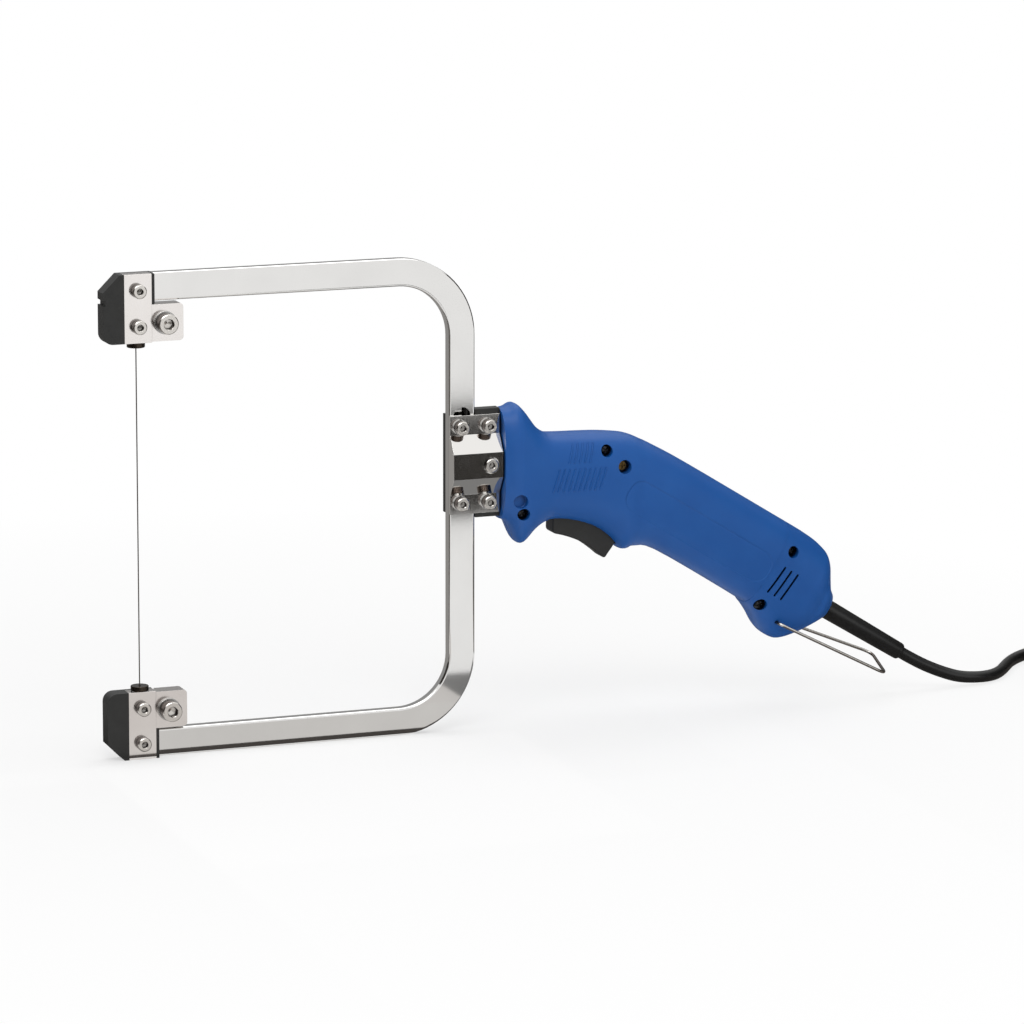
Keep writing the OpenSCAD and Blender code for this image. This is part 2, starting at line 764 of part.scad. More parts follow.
// Trigger, a lever that swings about the pin at its front
pad_x0 = 7.5;
pad_x1 = 24;
pad_z = 7;
finger_curve = curve([[28, -36.8], [28.7, -38.5], [34.3, -40.2], [42, -42.8], [47.3, -45.7], [52, -49.8],
    [54.6, -52.3]], 4);

module trigger() {
    a0 = -43;
    a1 = -20;
    hub_start = 30;
    hub_end = 200;
    color(black_plastic) at_handle() difference() {
        plate_y(-trigger_w / 2, trigger_w / 2) polygon(concat(
            finger_curve,
            arc_points(pivot[0], pivot[1], trigger_r, a0, a1, 6),
            [pivot + [pad_x1, -pad_z], pivot + [pad_x0, -pad_z]],
            arc_points(pivot[0], pivot[1], hub_r, hub_start, hub_end, 10)));
        rod_y(pivot[0], pivot[1], pin_d + 2 * slip, -trigger_w, trigger_w);
    }
}

module trigger_pin() {
    color(steel) at_handle() rod_y(pivot[0], pivot[1], pin_d, -pin_half, pin_half);
}

// Switch above the trigger, with a plunger whose collar carries the return spring
switch_x = pivot[0] + 7;
switch_z = pivot[1] + 2;
switch_size = [27, 13, 16];
plunger_x = pivot[0] + 19;
plunger_d = 4;
plunger_foot = pivot[1] - pad_z + 0.1;
plunger_top = switch_z + 6;
plunger_travel = 3;
plunger_collar_d = 7;
plunger_collar_h = 1;
collar_z = plunger_foot + plunger_d / 2;

module switch_body() {
    color("gray") at_handle() difference() {
        translate([switch_x, -switch_size[1] / 2, switch_z]) cube(switch_size);
        rod_z(plunger_x, 0, plunger_d + 2 * slip, switch_z - cut, plunger_top + plunger_travel);
    }
}

module switch_plunger() {
    color("white") at_handle() {
        translate([plunger_x, 0, collar_z]) sphere(d = plunger_d);
        rod_z(plunger_x, 0, plunger_d, collar_z, plunger_top);
        rod_z(plunger_x, 0, plunger_collar_d, collar_z, collar_z + plunger_collar_h);
    }
}

spring_wire = 0.7;
spring_turns = 3;

module trigger_spring() {
    r = (plunger_collar_d - spring_wire) / 2;
    steps = 12 * spring_turns;
    z0 = collar_z + plunger_collar_h + spring_wire / 2 + slip;
    z1 = switch_z - spring_wire / 2 - slip;
    path = [for (i = [0:steps]) let (a = 360 * spring_turns * i / steps)
        [plunger_x + r * cos(a), r * sin(a), z0 + (z1 - z0) * i / steps]];
    color(steel) at_handle() sweep(path, spring_wire, 6);
}

// A tube of n sides swept along the points of a path that is nowhere vertical
function direction(path, i) =
    let (d = path[min(i + 1, len(path) - 1)] - path[max(i - 1, 0)]) d / norm(d);
module sweep(path, d, n) {
    last = len(path) - 1;
    points = [for (i = [0:last]) let (
        t = direction(path, i),
        s0 = cross(t, [0, 0, 1]),
        s = s0 / norm(s0),
        u = cross(s, t))
        for (k = [0:n - 1]) let (a = 360 * (k + 0.5) / n)
            path[i] + d / 2 / cos(180 / n) * (s * cos(a) + u * sin(a))];
    faces = concat(
        [for (i = [0:last - 1], k = [0:n - 1]) [i * n + k, i * n + (k + 1) % n, (i + 1) * n + (k + 1) % n]],
        [for (i = [0:last - 1], k = [0:n - 1]) [i * n + k, (i + 1) * n + (k + 1) % n, (i + 1) * n + k]],
        [[for (k = [n - 1:-1:0]) k]],
        [[for (k = [0:n - 1]) last * n + k]]);
    polyhedron(points, faces);
}

// Transformer in the grip: a laminated core whose middle leg carries both windings
core_l = 34;
core_w = 26;
core_t = 18;
core_u = 22;
core_v = 1;
yoke = 6;
side_leg = 4;
middle_leg = 8;
winding_t = 4;
winding_gap = 0.3;
split = -2.5;

module transformer_core() {
    slot_w = (core_w - middle_leg) / 2 - side_leg;
    color("dimgray") at_grip(core_u, core_v) translate([0, 0, -core_t / 2]) linear_extrude(core_t)
        difference() {
            square([core_l, core_w], center = true);
            for (side = [-1, 1])
                translate([0, side * (middle_leg + slot_w) / 2])
                    square([core_l - 2 * yoke, slot_w], center = true);
        }
}

// A ring of wire round the middle leg, from u0 to u1
module winding(u0, u1) {
    hole = [middle_leg, core_t] + 2 * winding_gap * [1, 1];
    at_grip(core_u, core_v) translate([u0, 0, 0]) rotate([90, 0, 90]) linear_extrude(u1 - u0)
        difference() {
            rounded_rect(hole[0] + 2 * winding_t, hole[1] + 2 * winding_t, 3);
            square(hole, center = true);
        }
}

module primary_winding() { color("peru") winding(split + winding_gap, core_l / 2 - yoke - winding_gap); }
module secondary_winding() { color("orange") winding(yoke - core_l / 2 + winding_gap, split); }

// Copper bars from the leads at the tongue's end over the core to the secondary winding
bar_t = 1.5;
bar_h = 6;
bar_y = 3;
bar_z = -5.5;
bar_v = core_v + core_t / 2 + bar_h / 2 + 0.6;

module bus_bars() {
    start = tongue_len + play;
    lug = [4, bar_y + bar_t + 1.5, 4];
    end_u = core_u + yoke - core_l / 2 + winding_gap;
    low = bar_z - bar_h / 2;
    high = bar_z + bar_h / 2;
    color("orange") at_handle() for (side = [-1, 1]) {
        y0 = side > 0 ? bar_y : -bar_y - bar_t;
        translate([start, side > 0 ? -1.5 : y0, side * lead_split - lug[2] / 2]) cube(lug);
        translate([start, y0, side > 0 ? low : -lead_split - 2])
            cube([bar_h, bar_t, side > 0 ? lead_split + 2 - low : lead_split + 2 + high]);
        plate_y(y0, y0 + bar_t) polygon([
            [start, low], bar_corner(low, -1), grip_point(end_u, bar_v - bar_h / 2),
            grip_point(end_u, bar_v + bar_h / 2), bar_corner(high, 1), [start, high]]);
    }
}

// Where the bar's level edge at z meets its sloping edge
function bar_corner(z, side) = let (v = bar_v + side * bar_h / 2)
    grip_point((grip_z + v * cos(grip_angle) - z) / sin(grip_angle), v);

// Mains leads from the transformer to the cord, under a clamp with two screws
mains_d = 2.4;
clamp_u = 86;
clamp_pitch = 7;
clamp_screw_d = 3;
clamp_thread = 5;
clamp_bar_t = 3;

module mains_leads() {
    color("saddlebrown") at_grip(core_u + core_l / 2, relief_v) for (side = [-1, 1])
        translate([0, side * 1.5, 0]) rotate([0, 90, 0])
            cylinder(d = mains_d, h = relief_u - relief_seat - core_u - core_l / 2);
}

module cord_clamp() {
    color(black_plastic) at_grip(clamp_u, relief_v + mains_d / 2) difference() {
        translate([-3, -clamp_pitch - 3, 0]) cube([6, 2 * clamp_pitch + 6, clamp_bar_t]);
        for (y = [-clamp_pitch, clamp_pitch]) rod_z(0, y, clamp_screw_d + 0.2, -cut, clamp_bar_t + cut);
    }
}

module cord_clamp_screws() {
    bottom = 1 - mains_d - clamp_thread;
    color(steel) at_grip(clamp_u, relief_v + mains_d / 2) for (y = [-clamp_pitch, clamp_pitch]) {
        rod_z(0, y, housing_head_d, clamp_bar_t, clamp_bar_t + 2);
        rod_z(0, y, clamp_screw_d, bottom, clamp_bar_t + slip);
    }
}

module strain_relief() {
    end_d = relief_d - 1.4;
    color(black_plastic) at_handle() at_relief() {
        translate([0, 0, -relief_seat]) cylinder(d = relief_d, h = relief_seat);
        translate([0, 0, -relief_seat + 1]) cylinder(d = relief_collar_d, h = 2);
        cylinder(d1 = relief_d, d2 = end_d, h = relief_len);
    }
}

// Hanging bail: a bent wire whose far corner stands a little higher and further out
bail_rest = 27.3;
bail_bend = 3;
bail_skew = [2.4, 0, 4.6];

// Points that round the corner b between a and c
function corner(a, b, c, r) = let (
    p = b + r * (a - b) / norm(a - b),
    q = b + r * (c - b) / norm(c - b))
    [for (t = [0:0.25:1]) (1 - t) * (1 - t) * p + 2 * t * (1 - t) * b + t * t * q];

module hanging_bail() {
    inner = bail_half - bail_hook;
    p = [[0, -inner, 0], [0, -bail_half, 0], [bail_len, -bail_half, 0],
        [bail_len, bail_half, 0] + bail_skew, [0, bail_half, 0], [0, inner, 0]];
    path = concat([p[0]], [for (i = [1:4]) each corner(p[i - 1], p[i], p[i + 1], bail_bend)], [p[5]]);
    color(steel) at_handle() translate([bail_spot[0], 0, bail_spot[1]]) rotate([0, bail_rest, 0])
        sweep(path, bail_d, 8);
}

// Mains cord: the free route was chosen by hand, from the strain relief down to the coil
relief_end = grip_point(relief_u + relief_len, relief_v);
cord_start = [flange_x + relief_end[0], 0, clamp_z + relief_end[1]];
cord_out = [cos(grip_angle), 0, -sin(grip_angle)];
tie_t = 0.9;
tie_w = 12;
coil_reach = cord_d / 2 / cos(30);
cord_z = tie_t + play + coil_reach;
coil_x = 470;
coil_inner_r = 25;
coil_r = coil_inner_r + loops * loop_step;
cord_route = concat(
    [cord_start, cord_start + cord_d * cord_out],
    [[353, 0, 13], [363, 0, 8.6], [373, 0, 5.4], [384, 1, 4], [394, 5, 3.4], [402, 12, 3.3],
     [409, 21, 3.3], [416, 30, 3.3], [425, 38, 3.6], [437, 44, 4.3], [450, coil_r, cord_z]],
    [[coil_x - cord_d, coil_r, cord_z]]);

// Coil of four layers that spirals in, out, in and out again
layer_turns = loops + 0.5;
coil_turns = 4 * loops + 1.5;
coil_steps = 24;
function coil_point(t) = let (
    layer = min(floor(t / layer_turns), 3),
    along = t - layer * layer_turns,
    wound = min(along, loops),
    climb = max(along - loops, 0) / 0.5,
    r = layer % 2 == 0 ? coil_r - loop_step * wound : coil_inner_r + loop_step * wound,
    a = 90 - 360 * t)
    [coil_x + r * cos(a), r * sin(a), cord_z + layer_step * (layer + climb)];
coil_path = [for (i = [0:round(coil_turns * coil_steps)]) coil_point(i / coil_steps)];
coil_top = cord_z + 3 * layer_step;
coil_exit = [coil_x, coil_r, coil_top];
whole_coil = concat([[coil_x - cord_d, coil_r, cord_z]], coil_path, [coil_exit + [cord_d, 0, 0]]);

// The least gap of the coil to itself, between points at least a third of a turn apart
coil_gap = min([for (i = [0:len(coil_path) - 1])
    for (j = [i + floor(coil_steps / 3):1:len(coil_path) - 1]) norm(coil_path[i] - coil_path[j])]) - cord_d;
echo(coil_gap = coil_gap);  // cord_coil

module cord() { color(black_plastic) sweep(cord_route, cord_d, 8); }
module cord_coil() { color(black_plastic) sweep(whole_coil, cord_d, 6); }

// A strap round the coil's turns; it is straight, so it leaves room for the bend of the inner turn
module coil_tie() {
    bend = coil_inner_r - sqrt(pow(coil_inner_r, 2) - pow(tie_w / 2, 2));
    side = coil_reach + play;
    x0 = coil_x - coil_r - side;
    x1 = coil_x - coil_inner_r + side + bend;
    room = [x1 - x0, coil_top - cord_z + 2 * side];
    color("gray") translate([(x0 + x1) / 2, tie_w / 2, tie_t + room[1] / 2])
        rotate([90, 0, 0]) linear_extrude(tie_w) difference() {
            rounded_rect(room[0] + 2 * tie_t, room[1] + 2 * tie_t, 3);
            rounded_rect(room[0], room[1], 3 - tie_t);
        }
}

// The cord's last stretch turns half round above the coil and ends at the plug, which lies on the coil
mains_plug_r = 36;
mains_plug_h = 14;
mains_plug_z = coil_top + coil_reach + play + mains_plug_h / 2;
tail_steps = 12;
function ease(t) = (1 - cos(180 * t)) / 2;
function tail_point(t) = let (
    a = 90 - 180 * t,
    r = coil_r + (mains_plug_r - coil_r) * ease(max(2 * t - 1, 0)))
    [coil_x + 2 * cord_d + r * cos(a), r * sin(a), coil_top + (mains_plug_z - coil_top) * ease(t)];
tail_route = concat(
    [coil_exit + [cord_d, 0, 0]],
    [for (i = [0:tail_steps]) tail_point(i / tail_steps)],
    [[coil_x, -mains_plug_r, mains_plug_z]]);

module cord_tail() { color(black_plastic) sweep(tail_route, cord_d, 8); }

// Flat two-pin plug, whose own frame has X from the cord to the pins
mains_plug_len = 33;
mains_plug_w = 26.4;
mains_pin_d = 4;
mains_pin_pitch = 18.6;
mains_pin_len = 19;
mains_pin_seat = 7.5;
module at_plug() { translate([coil_x, -mains_plug_r, mains_plug_z]) rotate(180) children(); }
module at_pins() {
    for (side = [-1, 1])
        translate([0, side * mains_pin_pitch / 2, 0]) rotate([0, 90, 0]) children();
}

module plug_body() {
    neck = 10;
    shoulder = 19;
    color(black_plastic) at_plug() difference() {
        union() {
            rotate([0, 90, 0]) cylinder(d1 = 8, d2 = 12, h = 14);
            intersection() {
                translate([neck, 0, 0]) rotate([90, 0, 90]) linear_extrude(mains_plug_len - neck)
                    rounded_rect(mains_plug_w, mains_plug_h, 6.8);
                translate([0, 0, -mains_plug_h / 2]) linear_extrude(mains_plug_h) polygon([
                    [neck, -8], [shoulder, -mains_plug_w / 2], [mains_plug_len, -mains_plug_w / 2],
                    [mains_plug_len, mains_plug_w / 2], [shoulder, mains_plug_w / 2], [neck, 8]]);
            }
        }
        at_pins() translate([0, 0, mains_plug_len - mains_pin_seat - play])
            cylinder(d = mains_pin_d + 2 * slip, h = 2 * mains_pin_seat);
    }
}

module plug_pins() {
    start = mains_plug_len - mains_pin_seat;
    shank = mains_pin_seat + mains_pin_len - 1;
    color(steel) at_plug() at_pins() translate([0, 0, start]) {
        cylinder(d = mains_pin_d, h = shank);
        translate([0, 0, shank]) cylinder(d1 = mains_pin_d, d2 = 2.6, h = 1);
    }
}

bow_tube();
upper_insulator();
lower_insulator();
upper_terminal();
lower_terminal();
upper_cover();
lower_cover();
cover_screws();
terminal_bolts();
terminal_washers();
wire_bushings();
hot_wire();
bow_leads();
front_clamp();
rear_clamp();
insulating_block();
clamp_screws();
clamp_washers();
clamp_nuts();
centre_screw();
left_housing();
right_housing();
housing_screws();
adjuster();
trigger();
trigger_pin();
trigger_spring();
switch_body();
switch_plunger();
bus_bars();
transformer_core();
primary_winding();
secondary_winding();
mains_leads();
cord_clamp();
cord_clamp_screws();
strain_relief();
hanging_bail();
cord();
cord_coil();
coil_tie();
cord_tail();
plug_body();
plug_pins();
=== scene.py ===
import math
import bmesh
import bpy
from mathutils import Matrix, Vector


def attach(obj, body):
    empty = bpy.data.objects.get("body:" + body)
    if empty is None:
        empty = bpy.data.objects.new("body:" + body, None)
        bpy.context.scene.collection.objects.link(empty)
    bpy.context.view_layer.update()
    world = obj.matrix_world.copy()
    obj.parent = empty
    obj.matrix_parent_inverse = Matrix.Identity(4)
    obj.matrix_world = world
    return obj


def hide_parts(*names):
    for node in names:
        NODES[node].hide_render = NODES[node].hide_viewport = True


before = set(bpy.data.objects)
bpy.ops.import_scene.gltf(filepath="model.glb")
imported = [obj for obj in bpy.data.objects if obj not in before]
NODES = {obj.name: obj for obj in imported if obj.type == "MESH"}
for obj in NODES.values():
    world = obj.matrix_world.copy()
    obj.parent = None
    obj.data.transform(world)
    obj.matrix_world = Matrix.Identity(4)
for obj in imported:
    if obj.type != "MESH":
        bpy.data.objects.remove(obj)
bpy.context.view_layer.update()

MM = 0.001
scene = bpy.context.scene


# Places: millimetres in the row's frame, in the handle's frame or along the sloping grip

BOW_H = 242
FLANGE_X = 116.5
CLAMP_Z = 136.5
GRIP = (90.6, -27.8)
GRIP_ANGLE = math.radians(31.8)
GRIP_AXIS = Vector((math.cos(GRIP_ANGLE), 0, -math.sin(GRIP_ANGLE)))
SLIP = 0.05
PLAY = 0.3


def grip_point(u, v):
    """A point of the grip's own frame, in the handle's frame."""
    return (GRIP[0] + u * math.cos(GRIP_ANGLE) + v * math.sin(GRIP_ANGLE),
            GRIP[1] - u * math.sin(GRIP_ANGLE) + v * math.cos(GRIP_ANGLE))


def at_handle(x, y, z):
    """A point of the handle's frame, in metres in the row's frame."""
    return Vector((FLANGE_X + x, y, CLAMP_Z + z)) * MM


def at_shell(x, z):
    """A point of the handle's seam, in millimetres in the row's frame."""
    return (FLANGE_X + x, 0, CLAMP_Z + z)


def in_row(outline):
    """An outline of the handle's frame, in the row's frame."""
    return [at_shell(*point)[::2] for point in outline]


# Node trees

def linear(hex_colour):
    """An sRGB hex colour as linear RGBA."""
    parts = [int(hex_colour[i:i + 2], 16) / 255 for i in (1, 3, 5)]
    return [c / 12.92 if c <= 0.04045 else ((c + 0.055) / 1.055) ** 2.4 for c in parts] + [1.0]


def add(tree, kind, inputs=None, **settings):
    """Adds a node; inputs maps a socket to a value or to another node's output."""
    made = tree.nodes.new(kind)
    for key, value in settings.items():
        setattr(made, key, value)
    for key, value in (inputs or {}).items():
        if isinstance(value, bpy.types.NodeSocket):
            tree.links.new(value, made.inputs[key])
        else:
            made.inputs[key].default_value = value
    return made


def surface(name, metallic=0.0, **sockets):
    """A material with one shader, whose sockets are given by name; returns it, its tree and the shader."""
    material = bpy.data.materials.new(name)
    material.use_nodes = True
    tree = material.node_tree
    shader = tree.nodes["Principled BSDF"]
    shader.inputs["Metallic"].default_value = metallic
    for key, value in sockets.items():
        shader.inputs[key.replace("_", " ")].default_value = value
    return material, tree, shader


def grain(tree, size_mm, stretch=(1, 1, 1), detail=2.0):
    """Noise on Object coordinates whose cells are about size_mm wide, drawn out by stretch."""
    place = add(tree, "ShaderNodeTexCoord").outputs["Object"]
    scaled = add(tree, "ShaderNodeMapping", {"Vector": place, "Scale": [1 / s for s in stretch]})
    return add(tree, "ShaderNodeTexNoise", {
        "Vector": scaled.outputs["Vector"], "Scale": 1 / (size_mm * MM), "Detail": detail}).outputs["Fac"]


def blend(tree, fac, low, high):
    """A colour from low to high, by fac; each is a hex colour or a node's output."""
    ends = {key: linear(end) if isinstance(end, str) else end for key, end in (("A", low), ("B", high))}
    return add(tree, "ShaderNodeMix", {"Factor": fac, **ends}, data_type="RGBA").outputs["Result"]


def tint(tree, shader, fac, low, high):
    """Gives the shader a colour from low to high."""
    tree.links.new(blend(tree, fac, low, high), shader.inputs["Base Color"])


def roughen(tree, shader, fac, low, high):
    """Gives the shader a roughness from low to high."""
    between = add(tree, "ShaderNodeMapRange", {"Value": fac, "To Min": low, "To Max": high})
    tree.links.new(between.outputs["Result"], shader.inputs["Roughness"])


def emboss(tree, shader, height, depth_mm, strength=1.0):
    """Bump of that depth from a height between 0 and 1."""
    bump = add(tree, "ShaderNodeBump", {"Height": height, "Distance": depth_mm * MM, "Strength": strength})
    tree.links.new(bump.outputs["Normal"], shader.inputs["Normal"])


def painted_shade_mask(tree, reach_mm, low, high):
    """Zero down in holes narrower than about reach_mm and one in the open; low and high set how soon. It
    masks where shade is painted into a base colour.
    """
    # Ambient occlusion, used to paint shade into colours
    corner = add(tree, "ShaderNodeAmbientOcclusion", {"Distance": reach_mm * MM}, samples=8)
    return add(tree, "ShaderNodeMapRange", {
        "Value": corner.outputs["AO"], "From Min": low, "From Max": high}).outputs["Result"]


def mottled(name, metallic, low, high, rough, size_mm, stretch=(1, 1, 1), detail=2.0):
    """A material whose colour and roughness wander together, in cells of about size_mm."""
    material, tree, shader = surface(name, metallic)
    tone = grain(tree, size_mm, stretch, detail)
    tint(tree, shader, tone, low, high)
    roughen(tree, shader, tone, *rough)
    return material


PANEL_MIDDLE = grip_point(17, -4.3)
PANEL_HALF = (45, 8.3)
PANEL_CORNER = 7
PANEL_STEP = 0.5
PANEL_DEPTH = 0.3


def panel_height(tree):
    """One outside the grip's shallow side panel and zero on it, from the distance to its rounded outline."""
    place = add(tree, "ShaderNodeTexCoord").outputs["Object"]
    along = add(tree, "ShaderNodeMapping", {
        "Vector": place, "Location": at_handle(PANEL_MIDDLE[0], 0, PANEL_MIDDLE[1]),
        "Rotation": (0, GRIP_ANGLE, 0), "Scale": (MM, 1, MM)}, vector_type="TEXTURE")
    size = add(tree, "ShaderNodeVectorMath", {0: along.outputs["Vector"]}, operation="ABSOLUTE")
    core = (PANEL_HALF[0] - PANEL_CORNER, 1, PANEL_HALF[1] - PANEL_CORNER)
    past = add(tree, "ShaderNodeVectorMath", {0: size.outputs["Vector"], 1: core}, operation="SUBTRACT")
    past = add(tree, "ShaderNodeVectorMath", {0: past.outputs["Vector"], 1: (0, 0, 0)}, operation="MAXIMUM")
    reach = add(tree, "ShaderNodeVectorMath", {0: past.outputs["Vector"]}, operation="LENGTH")
    return add(tree, "ShaderNodeMapRange", {
        "Value": reach.outputs["Value"], "From Min": PANEL_CORNER - PANEL_STEP,
        "From Max": PANEL_CORNER + PANEL_STEP}, interpolation_type="SMOOTHSTEP").outputs["Result"]


# Materials

def satin_moulded_abs():
    """Blue ABS from a finely eroded mould: an even satin, a shallow side panel, and painted shade down in
    the holes.
    """
    material, tree, shader = surface("moulded_abs_blue", Specular_IOR_Level=0.35)
    colour = blend(tree, grain(tree, 14, detail=3), "#0C4E98", "#1357A2")
    # Painted shade: the base colour goes to dark blue #061430 deep in holes and recesses
    tint(tree, shader, painted_shade_mask(tree, 5, 0.3, 0.62), "#061430", colour)
    fine = grain(tree, 0.5)
    roughen(tree, shader, fine, 0.36, 0.5)
    grained = add(tree, "ShaderNodeMath", {0: fine, 1: 0.01}, operation="MULTIPLY")
    relief = add(tree, "ShaderNodeMath", {0: panel_height(tree), 1: PANEL_DEPTH, 2: grained.outputs[0]},
                 operation="MULTIPLY_ADD")
    emboss(tree, shader, relief.outputs[0], 1)
    return material


def black_moulded_nylon():
    """Glass-filled nylon, moulded: dark, dull, with a fine grain and faint grey rubs."""
    material, tree, shader = surface("moulded_nylon_black", Specular_IOR_Level=0.35)
    tint(tree, shader, grain(tree, 6, detail=3), "#222221", "#2E2E2D")
    fine = grain(tree, 0.4)
    roughen(tree, shader, fine, 0.4, 0.58)
    emboss(tree, shader, fine, 0.02, 0.6)
    return material


def black_rubber():
    """Soft PVC cord and strain relief: near black with a dull sheen and a fine grain."""
    material, tree, shader = surface("cord_pvc_black")
    tint(tree, shader, grain(tree, 5), "#141414", "#1D1D1D")
    fine = grain(tree, 0.6)
    roughen(tree, shader, fine, 0.28, 0.42)
    emboss(tree, shader, fine, 0.01, 0.5)
    return material


def brushed_steel():
    """Stainless tube, satin brushed: a soft light grey with a fine grain and cloudy wear."""
    material, tree, shader = surface("stainless_brushed", 1.0)
    tint(tree, shader, grain(tree, 25, detail=3), "#DCDBD9", "#E8E7E5")
    brushed = grain(tree, 0.35, detail=3)
    roughen(tree, shader, brushed, 0.05, 0.1)
    emboss(tree, shader, brushed, 0.002, 0.4)
    return material


def nickel_plate():
    """Nickel plated steel blocks: brighter than the tube, a little warm, fine ground faces."""
    material, tree, shader = surface("nickel_plated", 1.0)
    tint(tree, shader, grain(tree, 12, detail=3), "#E4DFDB", "#EEEAE7")
    lines = grain(tree, 0.3, (1, 1, 14))
    roughen(tree, shader, lines, 0.1, 0.18)
    emboss(tree, shader, lines, 0.0015, 0.4)
    return material


def polished_steel():
    """Pressed steel, polished: soft mirror, with faint fine scratches."""
    material, tree, shader = surface("steel_polished", 1.0, Base_Color=linear("#ECEAE7"))
    lines = grain(tree, 0.4, (1, 1, 18), 3)
    roughen(tree, shader, lines, 0.04, 0.1)
    emboss(tree, shader, lines, 0.002, 0.3)
    return material


def screw_steel():
    """Nickel plated socket screws: painted light on the ends and rims, painted shade on the knurled sides
    and down in the sockets.
    """
    material, tree, shader = surface("screw_nickel", 1.0)
    mottle = grain(tree, 1.2, detail=3)
    normal = add(tree, "ShaderNodeNewGeometry").outputs["Normal"]
    facing = add(tree, "ShaderNodeSeparateXYZ", {"Vector": normal})
    end = add(tree, "ShaderNodeMath", {0: facing.outputs["Y"]}, operation="ABSOLUTE")
    # Painted light and shade by facing: faces along Y get the bright nickel, sideways faces the dark #5A504A
    painted_light_facing = add(tree, "ShaderNodeMapRange", {"Value": end.outputs[0], "From Min": 0.3, "From Max": 0.7})
    colour = blend(tree, painted_light_facing.outputs["Result"], "#5A504A", blend(tree, mottle, "#CBC7C1", "#DEDAD5"))
    # Painted shade: dark #1D1A17 down in the sockets
    tint(tree, shader, painted_shade_mask(tree, 2.5, 0.25, 0.8), "#1D1A17", colour)
    roughen(tree, shader, mottle, 0.14, 0.28)
    return material


def woven_strap():
    """Hook and loop strap: black woven nylon with fine threads."""
    material, tree, shader = surface("strap_woven", Roughness=0.85)
    place = add(tree, "ShaderNodeTexCoord").outputs["Object"]
    threads = add(tree, "ShaderNodeTexWave", {"Vector": place, "Scale": 1 / (2 * MM), "Distortion": 1.5},
                  wave_type="BANDS", bands_direction="Y").outputs["Fac"]
    tint(tree, shader, threads, "#141414", "#2B2B2B")
    emboss(tree, shader, threads, 0.15, 0.8)
    return material


def zinc_plate():
    """Bright zinc plated screws: cool and slightly mottled."""
    return mottled("zinc_plated", 1.0, "#A9A8A6", "#C6C5C3", (0.18, 0.34), 1.2, detail=3)


def blackened_steel():
    """Black oxide screws, deep in their recesses: dark, with worn bright specks."""
    return mottled("steel_black_oxide", 1.0, "#1F1F21", "#4A4A4C", (0.3, 0.5), 0.8, detail=4)


def heated_wire():
    """Resistance wire that has been hot: grey brown oxide, dull."""
    return mottled("resistance_wire", 1.0, "#55504C", "#77706A", (0.38, 0.55), 9, (1, 1, 3))


def dark_bushing():
    """Heat-darkened turned steel, nearly black with a bright glint."""
    return mottled("bushing_dark", 1.0, "#2C2723", "#4E463E", (0.2, 0.34), 2, detail=3)


def brass_in_painted_shade():
    """Turned brass, darkened all over with the painted shade of the hole it sits in."""
    return mottled("brass_painted_shade", 1.0, "#4E3F28", "#7E673D", (0.28, 0.45), 1.5, detail=4)


def enamelled_copper():
    """Copper bars and enamelled windings: warm, glossy under the enamel."""
    return mottled("copper_enamelled", 1.0, "#8F5230", "#C47B49", (0.25, 0.4), 0.8, (1, 12, 1))


def core_laminations():
    """Stacked silicon steel sheets: dark grey with thin lines."""
    return mottled("core_laminated", 1.0, "#36363A", "#5A5A5E", (0.42, 0.6), 0.7, (30, 1, 30))


def switch_plastic():
    """Light grey phenolic switch body."""
    return mottled("switch_phenolic", 0.0, "#858480", "#9A9994", (0.35, 0.5), 3)


def silicone_lead():
    """Black silicone insulation, soft and dull."""
    return mottled("silicone_lead", 0.0, "#161514", "#23201F", (0.5, 0.65), 4)


ABS_BLUE = satin_moulded_abs()
NYLON = black_moulded_nylon()
PVC = black_rubber()
BRUSHED = brushed_steel()
NICKEL = nickel_plate()
POLISHED = polished_steel()
ZINC = zinc_plate()
BLACK_STEEL = blackened_steel()
SCREW = screw_steel()
DARK_METAL = dark_bushing()
WIRE = heated_wire()
BRASS = brass_in_painted_shade()
COPPER = enamelled_copper()
CORE = core_laminations()
PHENOLIC = switch_plastic()
SILICONE = silicone_lead()
STRAP = woven_strap()

NODE_FINISHES = [
    (BRUSHED, ["bow_tube"]),
    (POLISHED, ["front_clamp"]),
    (NICKEL, ["upper_terminal", "lower_terminal", "upper_cover", "lower_cover"]),
    (ZINC, ["cover_screws", "terminal_bolts", "terminal_washers", "clamp_screws", "clamp_washers",
            "clamp_nuts", "centre_screw", "trigger_pin", "trigger_spring", "cord_clamp_screws",
            "hanging_bail", "plug_pins"]),
    (BLACK_STEEL, ["housing_screws"]),
    (WIRE, ["hot_wire"]),
    (BRASS, ["adjuster"]),
    (DARK_METAL, ["wire_bushings"]),
    (COPPER, ["bus_bars", "primary_winding", "secondary_winding"]),
    (CORE, ["transformer_core"]),
    (NYLON, ["upper_insulator", "lower_insulator", "rear_clamp", "insulating_block", "trigger",
             "cord_clamp"]),
    (ABS_BLUE, ["left_housing", "right_housing"]),
    (PHENOLIC, ["switch_body", "switch_plunger"]),
    (SILICONE, ["bow_leads", "mains_leads"]),
    (PVC, ["strain_relief", "cord", "cord_coil", "cord_tail", "plug_body"]),
    (STRAP, ["coil_tie"]),
]


def finish_nodes():
    """Gives every CAD node its material."""
    for material, names in NODE_FINISHES:
        for name in names:
            finish = NODES[name].data.materials
            finish.clear()
            finish.append(material)


# Pieces

def link(name, data):
    """A new object in the scene."""
    made = bpy.data.objects.new(name, data)
    scene.collection.objects.link(made)
    return made


def new_piece(name, mesh, material, body, slot_name, *nodes):
    """A finished piece from a mesh: its material, its body and the CAD nodes it stands for."""
    piece = link(name, mesh)
    mesh.materials.clear()
    mesh.materials.append(material)
    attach(piece, body)
    if nodes:
        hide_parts(*nodes)


